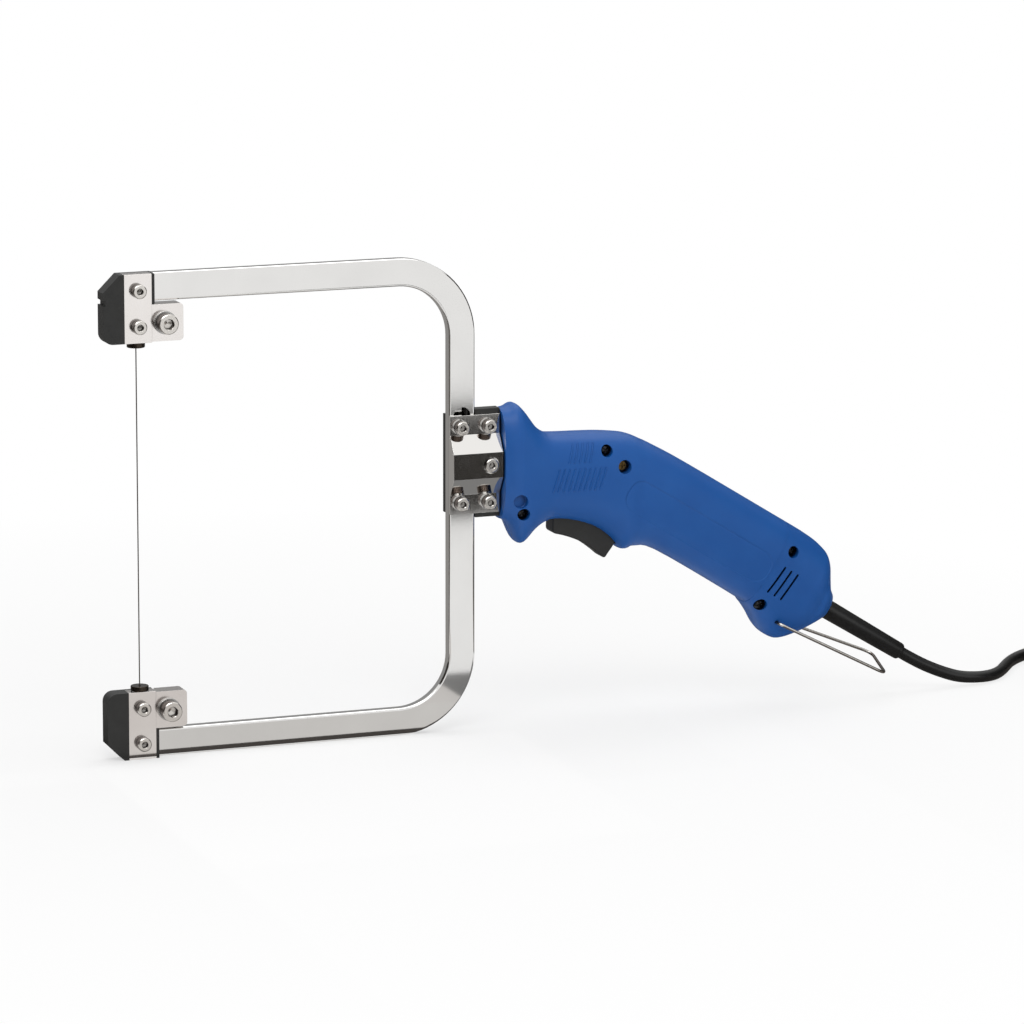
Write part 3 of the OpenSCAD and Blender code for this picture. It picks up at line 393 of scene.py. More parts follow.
def smooth(mesh, angle=35):
    """Smooth shading, with edges sharper than angle left sharp."""
    for face in mesh.polygons:
        face.use_smooth = True
    mesh.set_sharp_from_angle(angle=math.radians(angle))


def plain_mesh(holder):
    """The mesh that an object's modifiers give; the object is removed."""
    graph = bpy.context.evaluated_depsgraph_get()
    result = bpy.data.meshes.new_from_object(holder.evaluated_get(graph))
    bpy.data.objects.remove(holder)
    return result


def applied(mesh, *modifiers):
    """The mesh with modifiers, each a type and its settings, applied to it."""
    holder = link("holder", mesh)
    for kind, settings in modifiers:
        modifier = holder.modifiers.new(kind, kind)
        for key, value in settings.items():
            setattr(modifier, key, value)
    return plain_mesh(holder)


WEIGHTED = ("WEIGHTED_NORMAL", {"weight": 100, "keep_sharp": True})


def outward(mesh):
    """Turns every face's normal outwards."""
    work = bmesh.new()
    work.from_mesh(mesh)
    bmesh.ops.recalc_face_normals(work, faces=work.faces)
    work.to_mesh(mesh)
    work.free()
    return mesh


def lofted(rings):
    """A closed solid through rings of points, each as long as the next."""
    count = len(rings[0])
    last = len(rings) - 1
    faces = []
    for i in range(last):
        for k in range(count):
            near, far = i * count, (i + 1) * count
            faces.append((near + k, near + (k + 1) % count, far + (k + 1) % count, far + k))
    faces.append(tuple(range(count)))
    faces.append(tuple(range(last * count, (last + 1) * count)))
    mesh = bpy.data.meshes.new("lofted")
    mesh.from_pydata([point for ring in rings for point in ring], [], faces)
    return outward(mesh)


def turned(profile, spot=(0, 0, 0), sides=48, groove=0.0):
    """A turned solid on an axis along Y through spot, from its (y, radius) profile; groove knurls it."""
    rings = []
    for y, radius in profile:
        ring = []
        for k in range(sides):
            angle = 2 * math.pi * k / sides
            r = radius - groove * (k % 2)
            x, z = r * math.cos(angle), r * math.sin(angle)
            ring.append(Vector((spot[0] + x, spot[1] + y, spot[2] + z)) * MM)
        rings.append(ring)
    return lofted(rings)


def rod(spot, r, y0, y1):
    """A round rod along Y through a spot of the handle's frame."""
    return turned([(y0, r), (y1, r)], at_shell(*spot))


def slab(outline, y0, y1):
    """A flat solid between y0 and y1 whose outline lies in the XZ plane."""
    return lofted([[Vector((x, y, z)) * MM for x, z in outline] for y in (y0, y1)])


def pillow(outline, half, r, steps=4):
    """A flat solid between -half and half whose outline lies in the XZ plane, with edges rounded by r."""
    count = len(outline)
    inward = []
    for k in range(count):
        along = Vector(outline[(k + 1) % count]) - Vector(outline[k - 1])
        inward.append(Vector((-along.y, along.x)).normalized())
    quarter = [math.pi / 2 * k / steps for k in range(steps + 1)]
    rings = []
    for side, a in [(-1, a) for a in quarter] + [(1, a) for a in reversed(quarter)]:
        y = side * (half - r * (1 - math.cos(a)))
        inset = r * (1 - math.sin(a))
        rings.append([Vector((p[0] + n.x * inset, y, p[1] + n.y * inset)) * MM
                      for p, n in zip(outline, inward)])
    return lofted(rings)


def cut(mesh, tools, operation="DIFFERENCE"):
    """The mesh less each of the tool meshes, or joined with them."""
    holders = [link("tool", tool) for tool in tools]
    result = applied(mesh, *[("BOOLEAN", {"operation": operation, "solver": "EXACT", "object": holder})
                             for holder in holders])
    for holder in holders:
        bpy.data.objects.remove(holder)
    return result


def joined(meshes):
    """One mesh from several."""
    work = bmesh.new()
    for mesh in meshes:
        work.from_mesh(mesh)
    whole = bpy.data.meshes.new("joined")
    work.to_mesh(whole)
    work.free()
    return whole


def arc(spot, r, a0, a1, steps):
    """Points on a circle round spot, from angle a0 to a1 in degrees."""
    angles = [math.radians(a0 + (a1 - a0) * k / steps) for k in range(steps + 1)]
    return [(spot[0] + r * math.cos(a), spot[1] + r * math.sin(a)) for a in angles]


def smoothed(points, steps=4):
    """A smooth curve through the points."""
    out = []
    last = len(points) - 1
    for i in range(last):
        a, b, c, d = points[max(i - 1, 0)], points[i], points[i + 1], points[min(i + 2, last)]
        for s in range(steps):
            t = s / steps
            out.append(0.5 * (2 * b + (c - a) * t + (2 * a - 5 * b + 4 * c - d) * t * t
                              + (3 * b - a - 3 * c + d) * t * t * t))
    return out + [points[last]]


def bent_path(path, bends, steps=8):
    """The path with every inner corner rounded off, from as far before it as after it."""
    out = [path[0]]
    shares = [k / steps for k in range(steps + 1)]
    for a, b, c, bend in zip(path, path[1:], path[2:], bends):
        p = b + (a - b).normalized() * bend
        q = b + (c - b).normalized() * bend
        out += [(1 - t) ** 2 * p + 2 * t * (1 - t) * b + t * t * q for t in shares]
    return out + [path[-1]]


def round_wire(name, points, d, fineness):
    """A round wire of that diameter, in millimetres, along points in metres."""
    curve = bpy.data.curves.new(name, "CURVE")
    curve.dimensions = "3D"
    spline = curve.splines.new("POLY")
    spline.points.add(len(points) - 1)
    for point, place in zip(spline.points, points):
        point.co = (*place, 1)
    spline.use_smooth = True
    curve.bevel_depth = d / 2 * MM
    curve.bevel_resolution = fineness
    curve.use_fill_caps = True
    return link(name, curve)


# Solids with rounded edges: the piece, its CAD node, material, slot, rounding and crispest smooth bend

MERGE_MM = 0.002
FLAT_DEG = 0.5
EDGE_DEG = 32
EDGE_STEPS = 3
EASED = [
    ("upper_end_cap", "upper_insulator", NYLON, "black_plastic", 0.5),
    ("lower_end_cap", "lower_insulator", NYLON, "black_plastic", 0.5),
    ("upper_block", "upper_terminal", NICKEL, "terminal_metal", 0.7),
    ("lower_block", "lower_terminal", NICKEL, "terminal_metal", 0.7),
    ("upper_plate", "upper_cover", NICKEL, "terminal_metal", 0.4),
    ("lower_plate", "lower_cover", NICKEL, "terminal_metal", 0.4),
    ("pressed_clamp", "front_clamp", POLISHED, "clamp_steel", 0.5, 8),
    ("back_strip", "rear_clamp", NYLON, "black_plastic", 0.4),
    ("bridge_block", "insulating_block", NYLON, "black_plastic", 0.4),
    ("hex_nuts", "clamp_nuts", ZINC, "screw_steel", 0.25),
    ("bolt_washers", "terminal_washers", ZINC, "screw_steel", 0.2),
    ("knurled_bushings", "wire_bushings", DARK_METAL, "dark_screws", 0.4)]


def merged_copy(node):
    """A copy of a CAD node's mesh with its points merged and its flat faces joined up."""
    work = bmesh.new()
    work.from_mesh(NODES[node].data)
    bmesh.ops.remove_doubles(work, verts=work.verts, dist=MERGE_MM * MM)
    bmesh.ops.dissolve_limit(work, angle_limit=math.radians(FLAT_DEG), verts=work.verts, edges=work.edges)
    mesh = bpy.data.meshes.new(node)
    work.to_mesh(mesh)
    work.free()
    return mesh


def eased(name, node, material, slot_name, width, crisp=180):
    """A CAD node's piece with its sharp edges rounded by width; bends past crisp degrees stay crisp."""
    copy = merged_copy(node)
    smooth(copy, crisp)
    rounding = {"width": width * MM, "segments": EDGE_STEPS, "limit_method": "ANGLE",
                "angle_limit": math.radians(EDGE_DEG)}
    new_piece(name, applied(copy, ("BEVEL", rounding), WEIGHTED), material, "frame", slot_name, node)


# Node trees for the pieces that repeat

RIB_POINTS = 15
RIB_SIDES = 10


def node_tree(name, inputs):
    """A node tree that takes and gives geometry, with these named inputs."""
    tree = bpy.data.node_groups.new(name, "GeometryNodeTree")
    tree.interface.new_socket("Geometry", in_out="INPUT", socket_type="NodeSocketGeometry")
    for key, kind in inputs:
        tree.interface.new_socket(key, in_out="INPUT", socket_type="NodeSocket" + kind)
    tree.interface.new_socket("Geometry", in_out="OUTPUT", socket_type="NodeSocketGeometry")
    return tree, add(tree, "NodeGroupInput").outputs


def set_out_tree():
    """Sets the same piece out on every point, turned about Y by a random angle up to Turn."""
    tree, given = node_tree("set_out", [
        ("Piece", "Object"), ("Turn", "Float"), ("Seed", "Int"), ("Material", "Material")])
    piece = add(tree, "GeometryNodeObjectInfo", {"Object": given["Piece"]})
    angle = add(tree, "FunctionNodeRandomValue", {3: given["Turn"], "Seed": given["Seed"]},
                data_type="FLOAT")
    turn = add(tree, "ShaderNodeCombineXYZ", {"Y": angle.outputs[1]})
    placed = add(tree, "GeometryNodeInstanceOnPoints", {
        "Points": given["Geometry"], "Instance": piece.outputs["Geometry"],
        "Rotation": turn.outputs["Vector"]})
    real = add(tree, "GeometryNodeRealizeInstances", {"Geometry": placed.outputs["Instances"]})
    done = add(tree, "GeometryNodeSetMaterial", {
        "Geometry": real.outputs["Geometry"], "Material": given["Material"]})
    add(tree, "NodeGroupOutput", {"Geometry": done.outputs["Geometry"]})
    return tree


def ribs_tree():
    """Thin ribs in a row, pressed along Y onto the skin of an object."""
    tree, given = node_tree("ribs_on_skin", [
        ("Skin", "Object"), ("Count", "Int"), ("First", "Vector"), ("Step", "Vector"), ("Half", "Vector"),
        ("Radius", "Float"), ("Material", "Material")])
    back = add(tree, "ShaderNodeVectorMath", {0: given["Half"], "Scale": -1.0}, operation="SCALE")
    rib = add(tree, "GeometryNodeCurvePrimitiveLine", {
        "Start": back.outputs["Vector"], "End": given["Half"]})
    rib = add(tree, "GeometryNodeResampleCurve", {"Curve": rib.outputs["Curve"], "Count": RIB_POINTS})
    row = add(tree, "GeometryNodeMeshLine", {
        "Count": given["Count"], "Start Location": given["First"], "Offset": given["Step"]})
    ribs = add(tree, "GeometryNodeInstanceOnPoints", {
        "Points": row.outputs["Mesh"], "Instance": rib.outputs["Curve"]})
    ribs = add(tree, "GeometryNodeRealizeInstances", {"Geometry": ribs.outputs["Instances"]})
    skin = add(tree, "GeometryNodeObjectInfo", {"Object": given["Skin"]})
    hit = add(tree, "GeometryNodeRaycast", {
        "Target Geometry": skin.outputs["Geometry"], "Ray Direction": (0, 1, 0), "Ray Length": 0.1})
    pressed = add(tree, "GeometryNodeSetPosition", {
        "Geometry": ribs.outputs["Geometry"], "Position": hit.outputs["Hit Position"]})
    ring = add(tree, "GeometryNodeCurvePrimitiveCircle", {
        "Resolution": RIB_SIDES, "Radius": given["Radius"]})
    tube = add(tree, "GeometryNodeCurveToMesh", {
        "Curve": pressed.outputs["Geometry"], "Profile Curve": ring.outputs["Curve"], "Fill Caps": True})
    done = add(tree, "GeometryNodeSetMaterial", {
        "Geometry": tube.outputs["Mesh"], "Material": given["Material"]})
    add(tree, "NodeGroupOutput", {"Geometry": done.outputs["Geometry"]})
    return tree


def grown(tree, mesh, **inputs):
    """The plain mesh that a node tree makes from a mesh and its named inputs."""
    holder = link("holder", mesh)
    modifier = holder.modifiers.new("grow", "NODES")
    modifier.node_group = tree
    for socket in tree.interface.items_tree:
        if socket.in_out == "INPUT" and socket.name in inputs:
            modifier[socket.identifier] = inputs[socket.name]
    return plain_mesh(holder)


SET_OUT = set_out_tree()
RIBS = ribs_tree()


def set_out(mesh, spots, material, turn=0.0, seed=1):
    """One mesh with a copy of the given mesh at every spot."""
    piece = link("piece", mesh)
    points = bpy.data.meshes.new("points")
    points.from_pydata([Vector(spot) * MM for spot in spots], [], [])
    result = grown(SET_OUT, points, Piece=piece, Turn=turn, Seed=seed, Material=material)
    bpy.data.objects.remove(piece)
    return result


# Camera: the photograph's angle, 20 degrees to the left and 11 degrees up

CAMERA_AZIMUTH = math.radians(-20)
CAMERA_ELEVATION = math.radians(11.24)
CAMERA_DISTANCE = 2.861
AIM = Vector((0.0965, 0, 0.121))
AIM_PIXEL = (459.9, 493.7)
PIXELS = 1024
FOCAL_PIXELS = 5722


def make_camera():
    back = Vector((math.sin(CAMERA_AZIMUTH) * math.cos(CAMERA_ELEVATION),
                   -math.cos(CAMERA_AZIMUTH) * math.cos(CAMERA_ELEVATION),
                   math.sin(CAMERA_ELEVATION)))
    data = bpy.data.cameras.new("camera")
    data.sensor_width = 36
    data.lens = FOCAL_PIXELS / PIXELS * data.sensor_width
    data.shift_x = (PIXELS / 2 - AIM_PIXEL[0]) / PIXELS
    data.shift_y = (AIM_PIXEL[1] - PIXELS / 2) / PIXELS
    data.clip_end = 20
    camera = link("camera", data)
    camera.location = AIM + back * CAMERA_DISTANCE
    camera.rotation_euler = back.to_track_quat("Z", "Y").to_euler()
    scene.camera = camera


# Strain relief

RELIEF_U = 106
RELIEF_V = -5
RELIEF_LENGTH = 52
RELIEF_R = 5.1
RELIEF_SEAT = 7.5
COLLAR_R = 6.9
COLLAR_Y = (-6.5, -4.5)
# Each point's place from the sleeve's end, and its radius
RELIEF_TIP = [(-1.4, 4.45), (-0.6, 4.3), (-0.2, 4.0), (0, 3.5)]


def on_relief(mesh):
    """The mesh, made along Y from the origin, moved onto the relief's sloping axis."""
    spot = grip_point(RELIEF_U, RELIEF_V)
    turn = Vector((0, 1, 0)).rotation_difference(GRIP_AXIS).to_matrix().to_4x4()
    mesh.transform(Matrix.Translation(at_handle(spot[0], 0, spot[1])) @ turn)
    return mesh


def relief_bore():
    """The seat of the strain relief."""
    bore_r = RELIEF_R + SLIP
    bore = turned([(-RELIEF_SEAT - 1, bore_r), (2 * RELIEF_SEAT, bore_r)])
    collar_r = COLLAR_R + SLIP
    collar = turned([(COLLAR_Y[0] - SLIP, collar_r), (COLLAR_Y[1] + SLIP, collar_r)])
    return [on_relief(bore), on_relief(collar)]


def make_relief():
    """Tapered sleeve with a rounded end and a collar inside the housing."""
    seat_r = RELIEF_R - SLIP
    collar_r = COLLAR_R - SLIP
    profile = [(-RELIEF_SEAT, seat_r), (COLLAR_Y[0] + SLIP, seat_r), (COLLAR_Y[0] + 2 * SLIP, collar_r),
               (COLLAR_Y[1] - 2 * SLIP, collar_r), (COLLAR_Y[1] - SLIP, seat_r), (0, RELIEF_R)]
    profile += [(RELIEF_LENGTH + y, r) for y, r in RELIEF_TIP]
    mesh = on_relief(turned(profile, sides=64))
    smooth(mesh, 40)
    new_piece("cord_sleeve", mesh, PVC, "frame", "cord_rubber", "strain_relief")


# Cord: the same route and coil as the solids, in millimetres

CORD_D = 6.2
COIL_X = 470
COIL_INNER_R = 25
LOOP_STEP = 7.6
LAYERS = 4
LAYER_STEP = 7.2
CLIMB_TURNS = 0.5
LOOPS = 2.875
TURN_STEPS = 48
TIE_T = 0.9
PLUG_H = 14
PLUG_R = 36
COIL_R = COIL_INNER_R + LOOPS * LOOP_STEP
COIL_REACH = CORD_D / 2 / math.cos(math.radians(30))
CORD_Z = TIE_T + PLAY + COIL_REACH
COIL_TOP = CORD_Z + (LAYERS - 1) * LAYER_STEP
PLUG_Z = COIL_TOP + COIL_REACH + PLAY + PLUG_H / 2
CORD_ROUTE = [
    (353, 0, 13), (363, 0, 8.6), (373, 0, 5.4), (384, 1, 4), (394, 5, 3.4), (402, 12, 3.3),
    (409, 21, 3.3), (416, 30, 3.3), (425, 38, 3.6), (437, 44, 4.3), (450, COIL_R, CORD_Z),
    (COIL_X - CORD_D, COIL_R, CORD_Z)]


def coil_point(t):
    """A point of the coil after t turns: in, out, in and out again, a layer higher each time."""
    layer = min(int(t / (LOOPS + CLIMB_TURNS)), LAYERS - 1)
    along = t - layer * (LOOPS + CLIMB_TURNS)
    wound = min(along, LOOPS)
    climb = max(along - LOOPS, 0) / CLIMB_TURNS
    r = COIL_R - LOOP_STEP * wound if layer % 2 == 0 else COIL_INNER_R + LOOP_STEP * wound
    a = math.radians(90 - 360 * t)
    return (COIL_X + r * math.cos(a), r * math.sin(a), CORD_Z + LAYER_STEP * (layer + climb))


def ease(t):
    """A share from 0 to 1 with a slow start and end."""
    return (1 - math.cos(math.pi * t)) / 2


def tail_point(t):
    """A point of the last stretch, half a turn above the coil up to the plug."""
    a = math.radians(90 - 180 * t)
    r = COIL_R + (PLUG_R - COIL_R) * ease(max(2 * t - 1, 0))
    return (COIL_X + 2 * CORD_D + r * math.cos(a), r * math.sin(a), COIL_TOP + (PLUG_Z - COIL_TOP) * ease(t))


def cord_points():
    """The cord's middle line from the strain relief to the plug, in metres."""
    start = Vector(at_shell(*grip_point(RELIEF_U + RELIEF_LENGTH, RELIEF_V)))
    route = [start, start + CORD_D * GRIP_AXIS] + [Vector(p) for p in CORD_ROUTE]
    turns = LAYERS * LOOPS + (LAYERS - 1) * CLIMB_TURNS
    steps = round(turns * TURN_STEPS)
    coil = [Vector(coil_point(turns * i / steps)) for i in range(steps + 1)]
    tail = [Vector((COIL_X + CORD_D, COIL_R, COIL_TOP))]
    tail += [Vector(tail_point(i / TURN_STEPS)) for i in range(TURN_STEPS + 1)]
    tail += [Vector((COIL_X, -PLUG_R, PLUG_Z))]
    return [p * MM for p in smoothed(route) + coil + tail]


def make_cord():
    points = cord_points()
    cord = round_wire("mains_cord", points, CORD_D, 4)
    cord.data.materials.append(PVC)
    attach(cord, "frame")
    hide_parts("cord", "cord_coil", "cord_tail")


# Housing: the same sections as the solid, with a finer skin
# Each row is a section's top, bottom and half width; the tail's rows are in the grip's own frame

FRONT_SECTIONS = [
    (0, 27, 0, -29, 12.5), (4, 27.6, 4, -31.5, 14.5), (8.2, 29.2, 8.2, -40.5, 15.5),
    (12.5, 25.5, 11.8, -42, 15.5), (18.5, 17.4, 17.5, -36, 15.3), (23.5, 13.8, 23, -32.3, 15),
    (28, 12.7, 28.5, -31, 15), (44, 12.2, 39, -32.4, 15.5), (55, 11.7, 50, -36.2, 16),
    (66, 10.4, 58, -42, 16.5), (71.5, 8.8, 63, -47.8, 17), (76, 6.7, 66.5, -49, 17),
    (82, 3.7, 71, -47.8, 17.2)]
HALF_H = 23
HALF_W = 17.5
TAIL_SECTIONS = [
    (-3, HALF_H, 7, -HALF_H, HALF_W), (55, HALF_H, 57, -HALF_H, HALF_W - 0.5),
    (63, HALF_H, 64, -HALF_H - 1, HALF_W - 1), (70, HALF_H, 71, -HALF_H - 4, HALF_W - 1.5),
    (76, HALF_H - 0.2, 76.5, -HALF_H - 7.2, HALF_W - 2), (82, HALF_H - 0.7, 82, -HALF_H - 9, HALF_W - 2.3),
    (88, HALF_H - 2, 88, -HALF_H - 9, HALF_W - 2.5), (91.5, HALF_H - 3.5, 91.5, -HALF_H - 7, HALF_W - 2.5),
    (94.7, HALF_H - 6.5, 95, -HALF_H - 3.5, HALF_W - 3), (98, 11.5, 98.3, -22.5, HALF_W - 4),
    (101.5, 6, 101.5, -17.5, 13), (105, 3.5, 105, -13, 10), (106.5, 1, 106.5, -11, 8)]
OUTLINE_POWER = 0.72
WALL = 2.6
OUTSIDE = -30
BOSS_R = 4
WIDE_BOSS_R = 5
SCREW_R = 1.5
HEAD_Y = -9
HEAD_BORE_R = 3.1
BLIND_Y = -10
HOUSING_SCREWS = [(9, -25.5), (53.5, 3.9), grip_point(69.3, 11), grip_point(69, -20.5)]
ADJUSTER = (62.5, -4.5)
DIMPLE = (7.3, -18.8)
DIMPLE_Y = -12
PIT_R = 3.5
PIT_Y = -9
TONGUE_LENGTH = 13
TONGUE_HALF_H = 20
TONGUE_HALF_T = 3
PIVOT = (31, -27.5)
PIN_R = 1.5
PIN_HALF = 7.7
TRIGGER_R = 35.2
TRIGGER_HALF = 5.5
TRIGGER_GAP = 0.4
WINDOW_CORNER = (-5.4, 4.4)
BAIL = grip_point(81.7, -24.2)
BAIL_HOLE_R = 0.9
BAIL_HOLE_Y = -10.9
VENT_HALF = 7.4
VENT_R = 0.6
VENT_LEAN = GRIP_ANGLE + math.radians(6)
VENT_U = 68.4
VENT_V = -5.5
VENT_STEP = 4.3
VENTS = 3

# Each boss's spot, radius and inner end
BOSSES = [(spot, BOSS_R, 0) for spot in HOUSING_SCREWS] + [
    (PIVOT, BOSS_R, -TRIGGER_HALF - 0.6), (BAIL, BOSS_R, -10.2), (ADJUSTER, WIDE_BOSS_R, -8),
    (DIMPLE, WIDE_BOSS_R, -10)]


def section_rows(steps):
    """The sections from the flange to the tail, with steps rows in each stretch."""
    tail = [(*grip_point(s[0], s[1]), *grip_point(s[2], s[3]), s[4]) for s in TAIL_SECTIONS]
    return smoothed([Vector(row) for row in FRONT_SECTIONS + tail], steps)


def rounded(value):
    """A sine or cosine, made fuller for a squarer outline."""
    return math.copysign(abs(value) ** OUTLINE_POWER, value)


def section_point(row, angle, inset, y=None):
    """A point on a section's rounded outline, from the top at 0 to the bottom at half a turn."""
    middle = ((row[0] + row[2]) / 2, (row[1] + row[3]) / 2)
    reach = ((row[0] - row[2]) / 2, (row[1] - row[3]) / 2)
    share = (1 - inset / math.hypot(*reach)) * rounded(math.cos(angle))
    across = -(row[4] - inset) * rounded(math.sin(angle)) if y is None else y
    return at_handle(middle[0] + reach[0] * share, across, middle[1] + reach[1] * share)


def half_skin(rows, sides, inset, seam):
    """One half of the lofted body, at -Y; seam gives the (y, inset) points that close it at the seam."""
    rings = []
    for row in rows:
        ring = [section_point(row, 0, inset + extra, y) for y, extra in seam]
        ring += [section_point(row, math.pi * k / sides, inset) for k in range(1, sides)]
        ring += [section_point(row, math.pi, inset + extra, y) for y, extra in reversed(seam)]
        rings.append(ring)
    return lofted(rings)


def shell_space():
    """The hollow of a shell, less the bosses round its screws, pivot, adjuster, dimple and loop."""
    hollow = half_skin(section_rows(1)[2:-3], 24, WALL, [(1, 0), (-0.5, 0)])
    return cut(hollow, [rod(spot, r, OUTSIDE, end) for spot, r, end in BOSSES])


def trigger_window():
    """The opening round the trigger's path, with a small gap."""
    r = TRIGGER_R + TRIGGER_GAP
    x, z = WINDOW_CORNER
    path = arc(PIVOT, r, -math.degrees(math.acos(x / r)), math.degrees(math.asin(z / r)), 40)
    outline = in_row([(PIVOT[0] + x, PIVOT[1] + z)] + path)
    return slab(outline, -TRIGGER_HALF - TRIGGER_GAP, TRIGGER_HALF + TRIGGER_GAP)


def vent_slots():
    """Narrow slots with round ends, across the tail."""
    turn = 180 * 16 / 17
    upright = arc((0, VENT_HALF), VENT_R, 0, turn, 8) + arc((0, -VENT_HALF), VENT_R, turn, 2 * turn, 8)
    cos, sin = math.cos(VENT_LEAN), math.sin(VENT_LEAN)
    outline = [(x * cos + z * sin, z * cos - x * sin) for x, z in upright]
    spots = [at_shell(*grip_point(VENT_U + VENT_STEP * i, VENT_V)) for i in range(VENTS)]
    return set_out(slab(outline, OUTSIDE, -8), spots, ABS_BLUE)


def tongue_slot():
    """The slot for the insulating block's tongue."""
    x0, x1 = -1, TONGUE_LENGTH + PLAY
    half = TONGUE_HALF_H + SLIP
    return slab(in_row([(x0, -half), (x1, -half), (x1, half), (x0, half)]), -TONGUE_HALF_T - SLIP, 1)


def shell(front):
    """One shell; the front one has the screw recesses, the adjuster's hole and the dimple."""
    skin = half_skin(section_rows(4), 48, 0, [(-0.02, 0.3), (-0.3, 0)])
    tools = [shell_space(), trigger_window(), vent_slots(), *relief_bore(), tongue_slot()]
    tools.append(rod(BAIL, BAIL_HOLE_R, OUTSIDE, BAIL_HOLE_Y))
    tools.append(rod(PIVOT, PIN_R + SLIP, -PIN_HALF - SLIP, 1))
    if front:
        tools += [rod(spot, HEAD_BORE_R, OUTSIDE, HEAD_Y) for spot in HOUSING_SCREWS]
        tools.append(rod(ADJUSTER, PIT_R, OUTSIDE, PIT_Y))
        pit = [(OUTSIDE, PIT_R), (DIMPLE_Y - 0.4, PIT_R), (DIMPLE_Y, PIT_R - 0.4)]
        tools.append(turned(pit, at_shell(*DIMPLE)))
    bore_y = OUTSIDE if front else BLIND_Y
    tools += [rod(spot, SCREW_R + SLIP, bore_y, 1) for spot in HOUSING_SCREWS]
    mesh = cut(skin, tools)
    smooth(mesh, 32)
    return mesh


def mirrored(mesh):
    """The mesh on the other side of the seam."""
    mesh.transform(Matrix.Diagonal((1, -1, 1, 1)))
    mesh.flip_normals()
    return mesh


# Thumb ribs: each group's count, the first rib's middle and half its height
RIB_GROUPS = [(5, (34.3, 3.6), 4.6), (10, (26, -9.6), 5.6)]
RIB_STEP = 2.75
RIB_R = 0.45
RIB_LEAN = 0.32


def thumb_ribs(skin):
    """Two groups of fine ribs, pressed onto the front shell."""
    groups = []
    for count, first, half in RIB_GROUPS:
        groups.append(grown(
            RIBS, bpy.data.meshes.new("empty"), Skin=skin, Count=count,
            First=at_handle(first[0], OUTSIDE, first[1]), Step=(RIB_STEP * MM, 0, 0),
            Half=(half * RIB_LEAN * MM, 0, half * MM), Radius=RIB_R * MM, Material=ABS_BLUE))
    ribs = joined(groups)
    smooth(ribs, 60)
    return ribs


def make_housing():
    front = shell(True)
    holder = link("skin", front)
    ribs = thumb_ribs(holder)
    bpy.data.objects.remove(holder)
    new_piece("front_shell", front, ABS_BLUE, "frame", "blue_plastic", "left_housing")
    new_piece("thumb_ribs", ribs, ABS_BLUE, "frame", "blue_plastic")
    new_piece("back_shell", mirrored(shell(False)), ABS_BLUE, "frame", "blue_plastic", "right_housing")


# Screws, at the places of the solids

BLOCK_FRONT = -6
CLAMP_FRONT = -6
CENTRE_FRONT = -8
WIRE_X = -72
BOLT_X = -58.5
BOLT_Z = 24.35
COVER_Z = (8.1, 25.8)
BIG_WASHER_T = 1.2
CLAMP_X = (94.8, 109.4)
CLAMP_RISE = 19.3
COVER_SPOTS = [(WIRE_X, BLOCK_FRONT, z) for z in (*COVER_Z, *(BOW_H - z for z in COVER_Z))]
BOLT_SPOTS = [(BOLT_X, BLOCK_FRONT - BIG_WASHER_T, z) for z in (BOLT_Z, BOW_H - BOLT_Z)]
CLAMP_SPOTS = [(x, CLAMP_FRONT, CLAMP_Z + side * CLAMP_RISE) for x in CLAMP_X for side in (-1, 1)]
CENTRE_SPOT = [(CLAMP_X[1], CENTRE_FRONT, CLAMP_Z)]

# Shank and head diameter, head height and key width
M4 = (4, 7, 4, 3)
M6 = (6, 10, 6, 5)

# The piece, its CAD node, size, places, length and random seed
SOCKET_SCREWS = [
    ("cover_cap_screws", "cover_screws", M4, COVER_SPOTS, 8.5, 3),
    ("clamp_cap_screws", "clamp_screws", M4, CLAMP_SPOTS, 15.7, 5),
    ("centre_cap_screw", "centre_screw", M4, CENTRE_SPOT, 10.5, 2),
    ("terminal_cap_bolts", "terminal_bolts", M6, BOLT_SPOTS, 9.7, 4)]


def hexagon(flats):
    """A hexagon's corners, from its width over the flats."""
    return arc((0, 0), flats / math.sqrt(3), 0, 300, 5)


def socket_screw(shank_d, head_d, head_h, flats, length):
    """A socket head screw at the origin: its head rests at y 0 and its shank points to +Y."""
    r = head_d / 2
    head = turned([(-head_h, r - 0.45), (-head_h + 0.12, r - 0.25), (-head_h + 0.4, r), (-0.3, r),
                   (0, r - 0.25)], sides=72, groove=0.07)
    shank = turned([(-0.4, shank_d / 2), (length - 0.6, shank_d / 2), (length, shank_d / 2 - 0.6)])
    floor_y = -head_h * 0.45
    key = slab(hexagon(flats), -head_h - 1, floor_y)
    mouth = turned([(-head_h - 0.5, flats / 2 + 0.75), (-head_h + 0.5, flats / 2 - 0.25)])
    drill = turned([(-head_h / 2, flats * 0.49), (floor_y + flats * 0.2, 0.05)])
    mesh = cut(cut(head, [shank], "UNION"), [key, mouth, drill])
    smooth(mesh, 30)
    return mesh


def cross_screw(shank_d, head_d, head_h, length):
    """A pan head screw with a cross recess, placed like the socket screw."""
    r = head_d / 2
    head = turned([(-head_h, r * 0.35), (-head_h * 0.93, r * 0.62), (-head_h * 0.7, r * 0.86),
                   (-head_h * 0.4, r), (0, r)])
    shank = turned([(-0.3, shank_d / 2), (length, shank_d / 2 - 0.3)])
    reach, half = 1.7, 0.38
    slots = [slab([(-a, -b), (a, -b), (a, b), (-a, b)], -head_h - 1, -head_h * 0.35)
             for a, b in ((reach, half), (half, reach))]
    mesh = cut(cut(head, [shank], "UNION"), slots)
    smooth(mesh, 30)
    return mesh


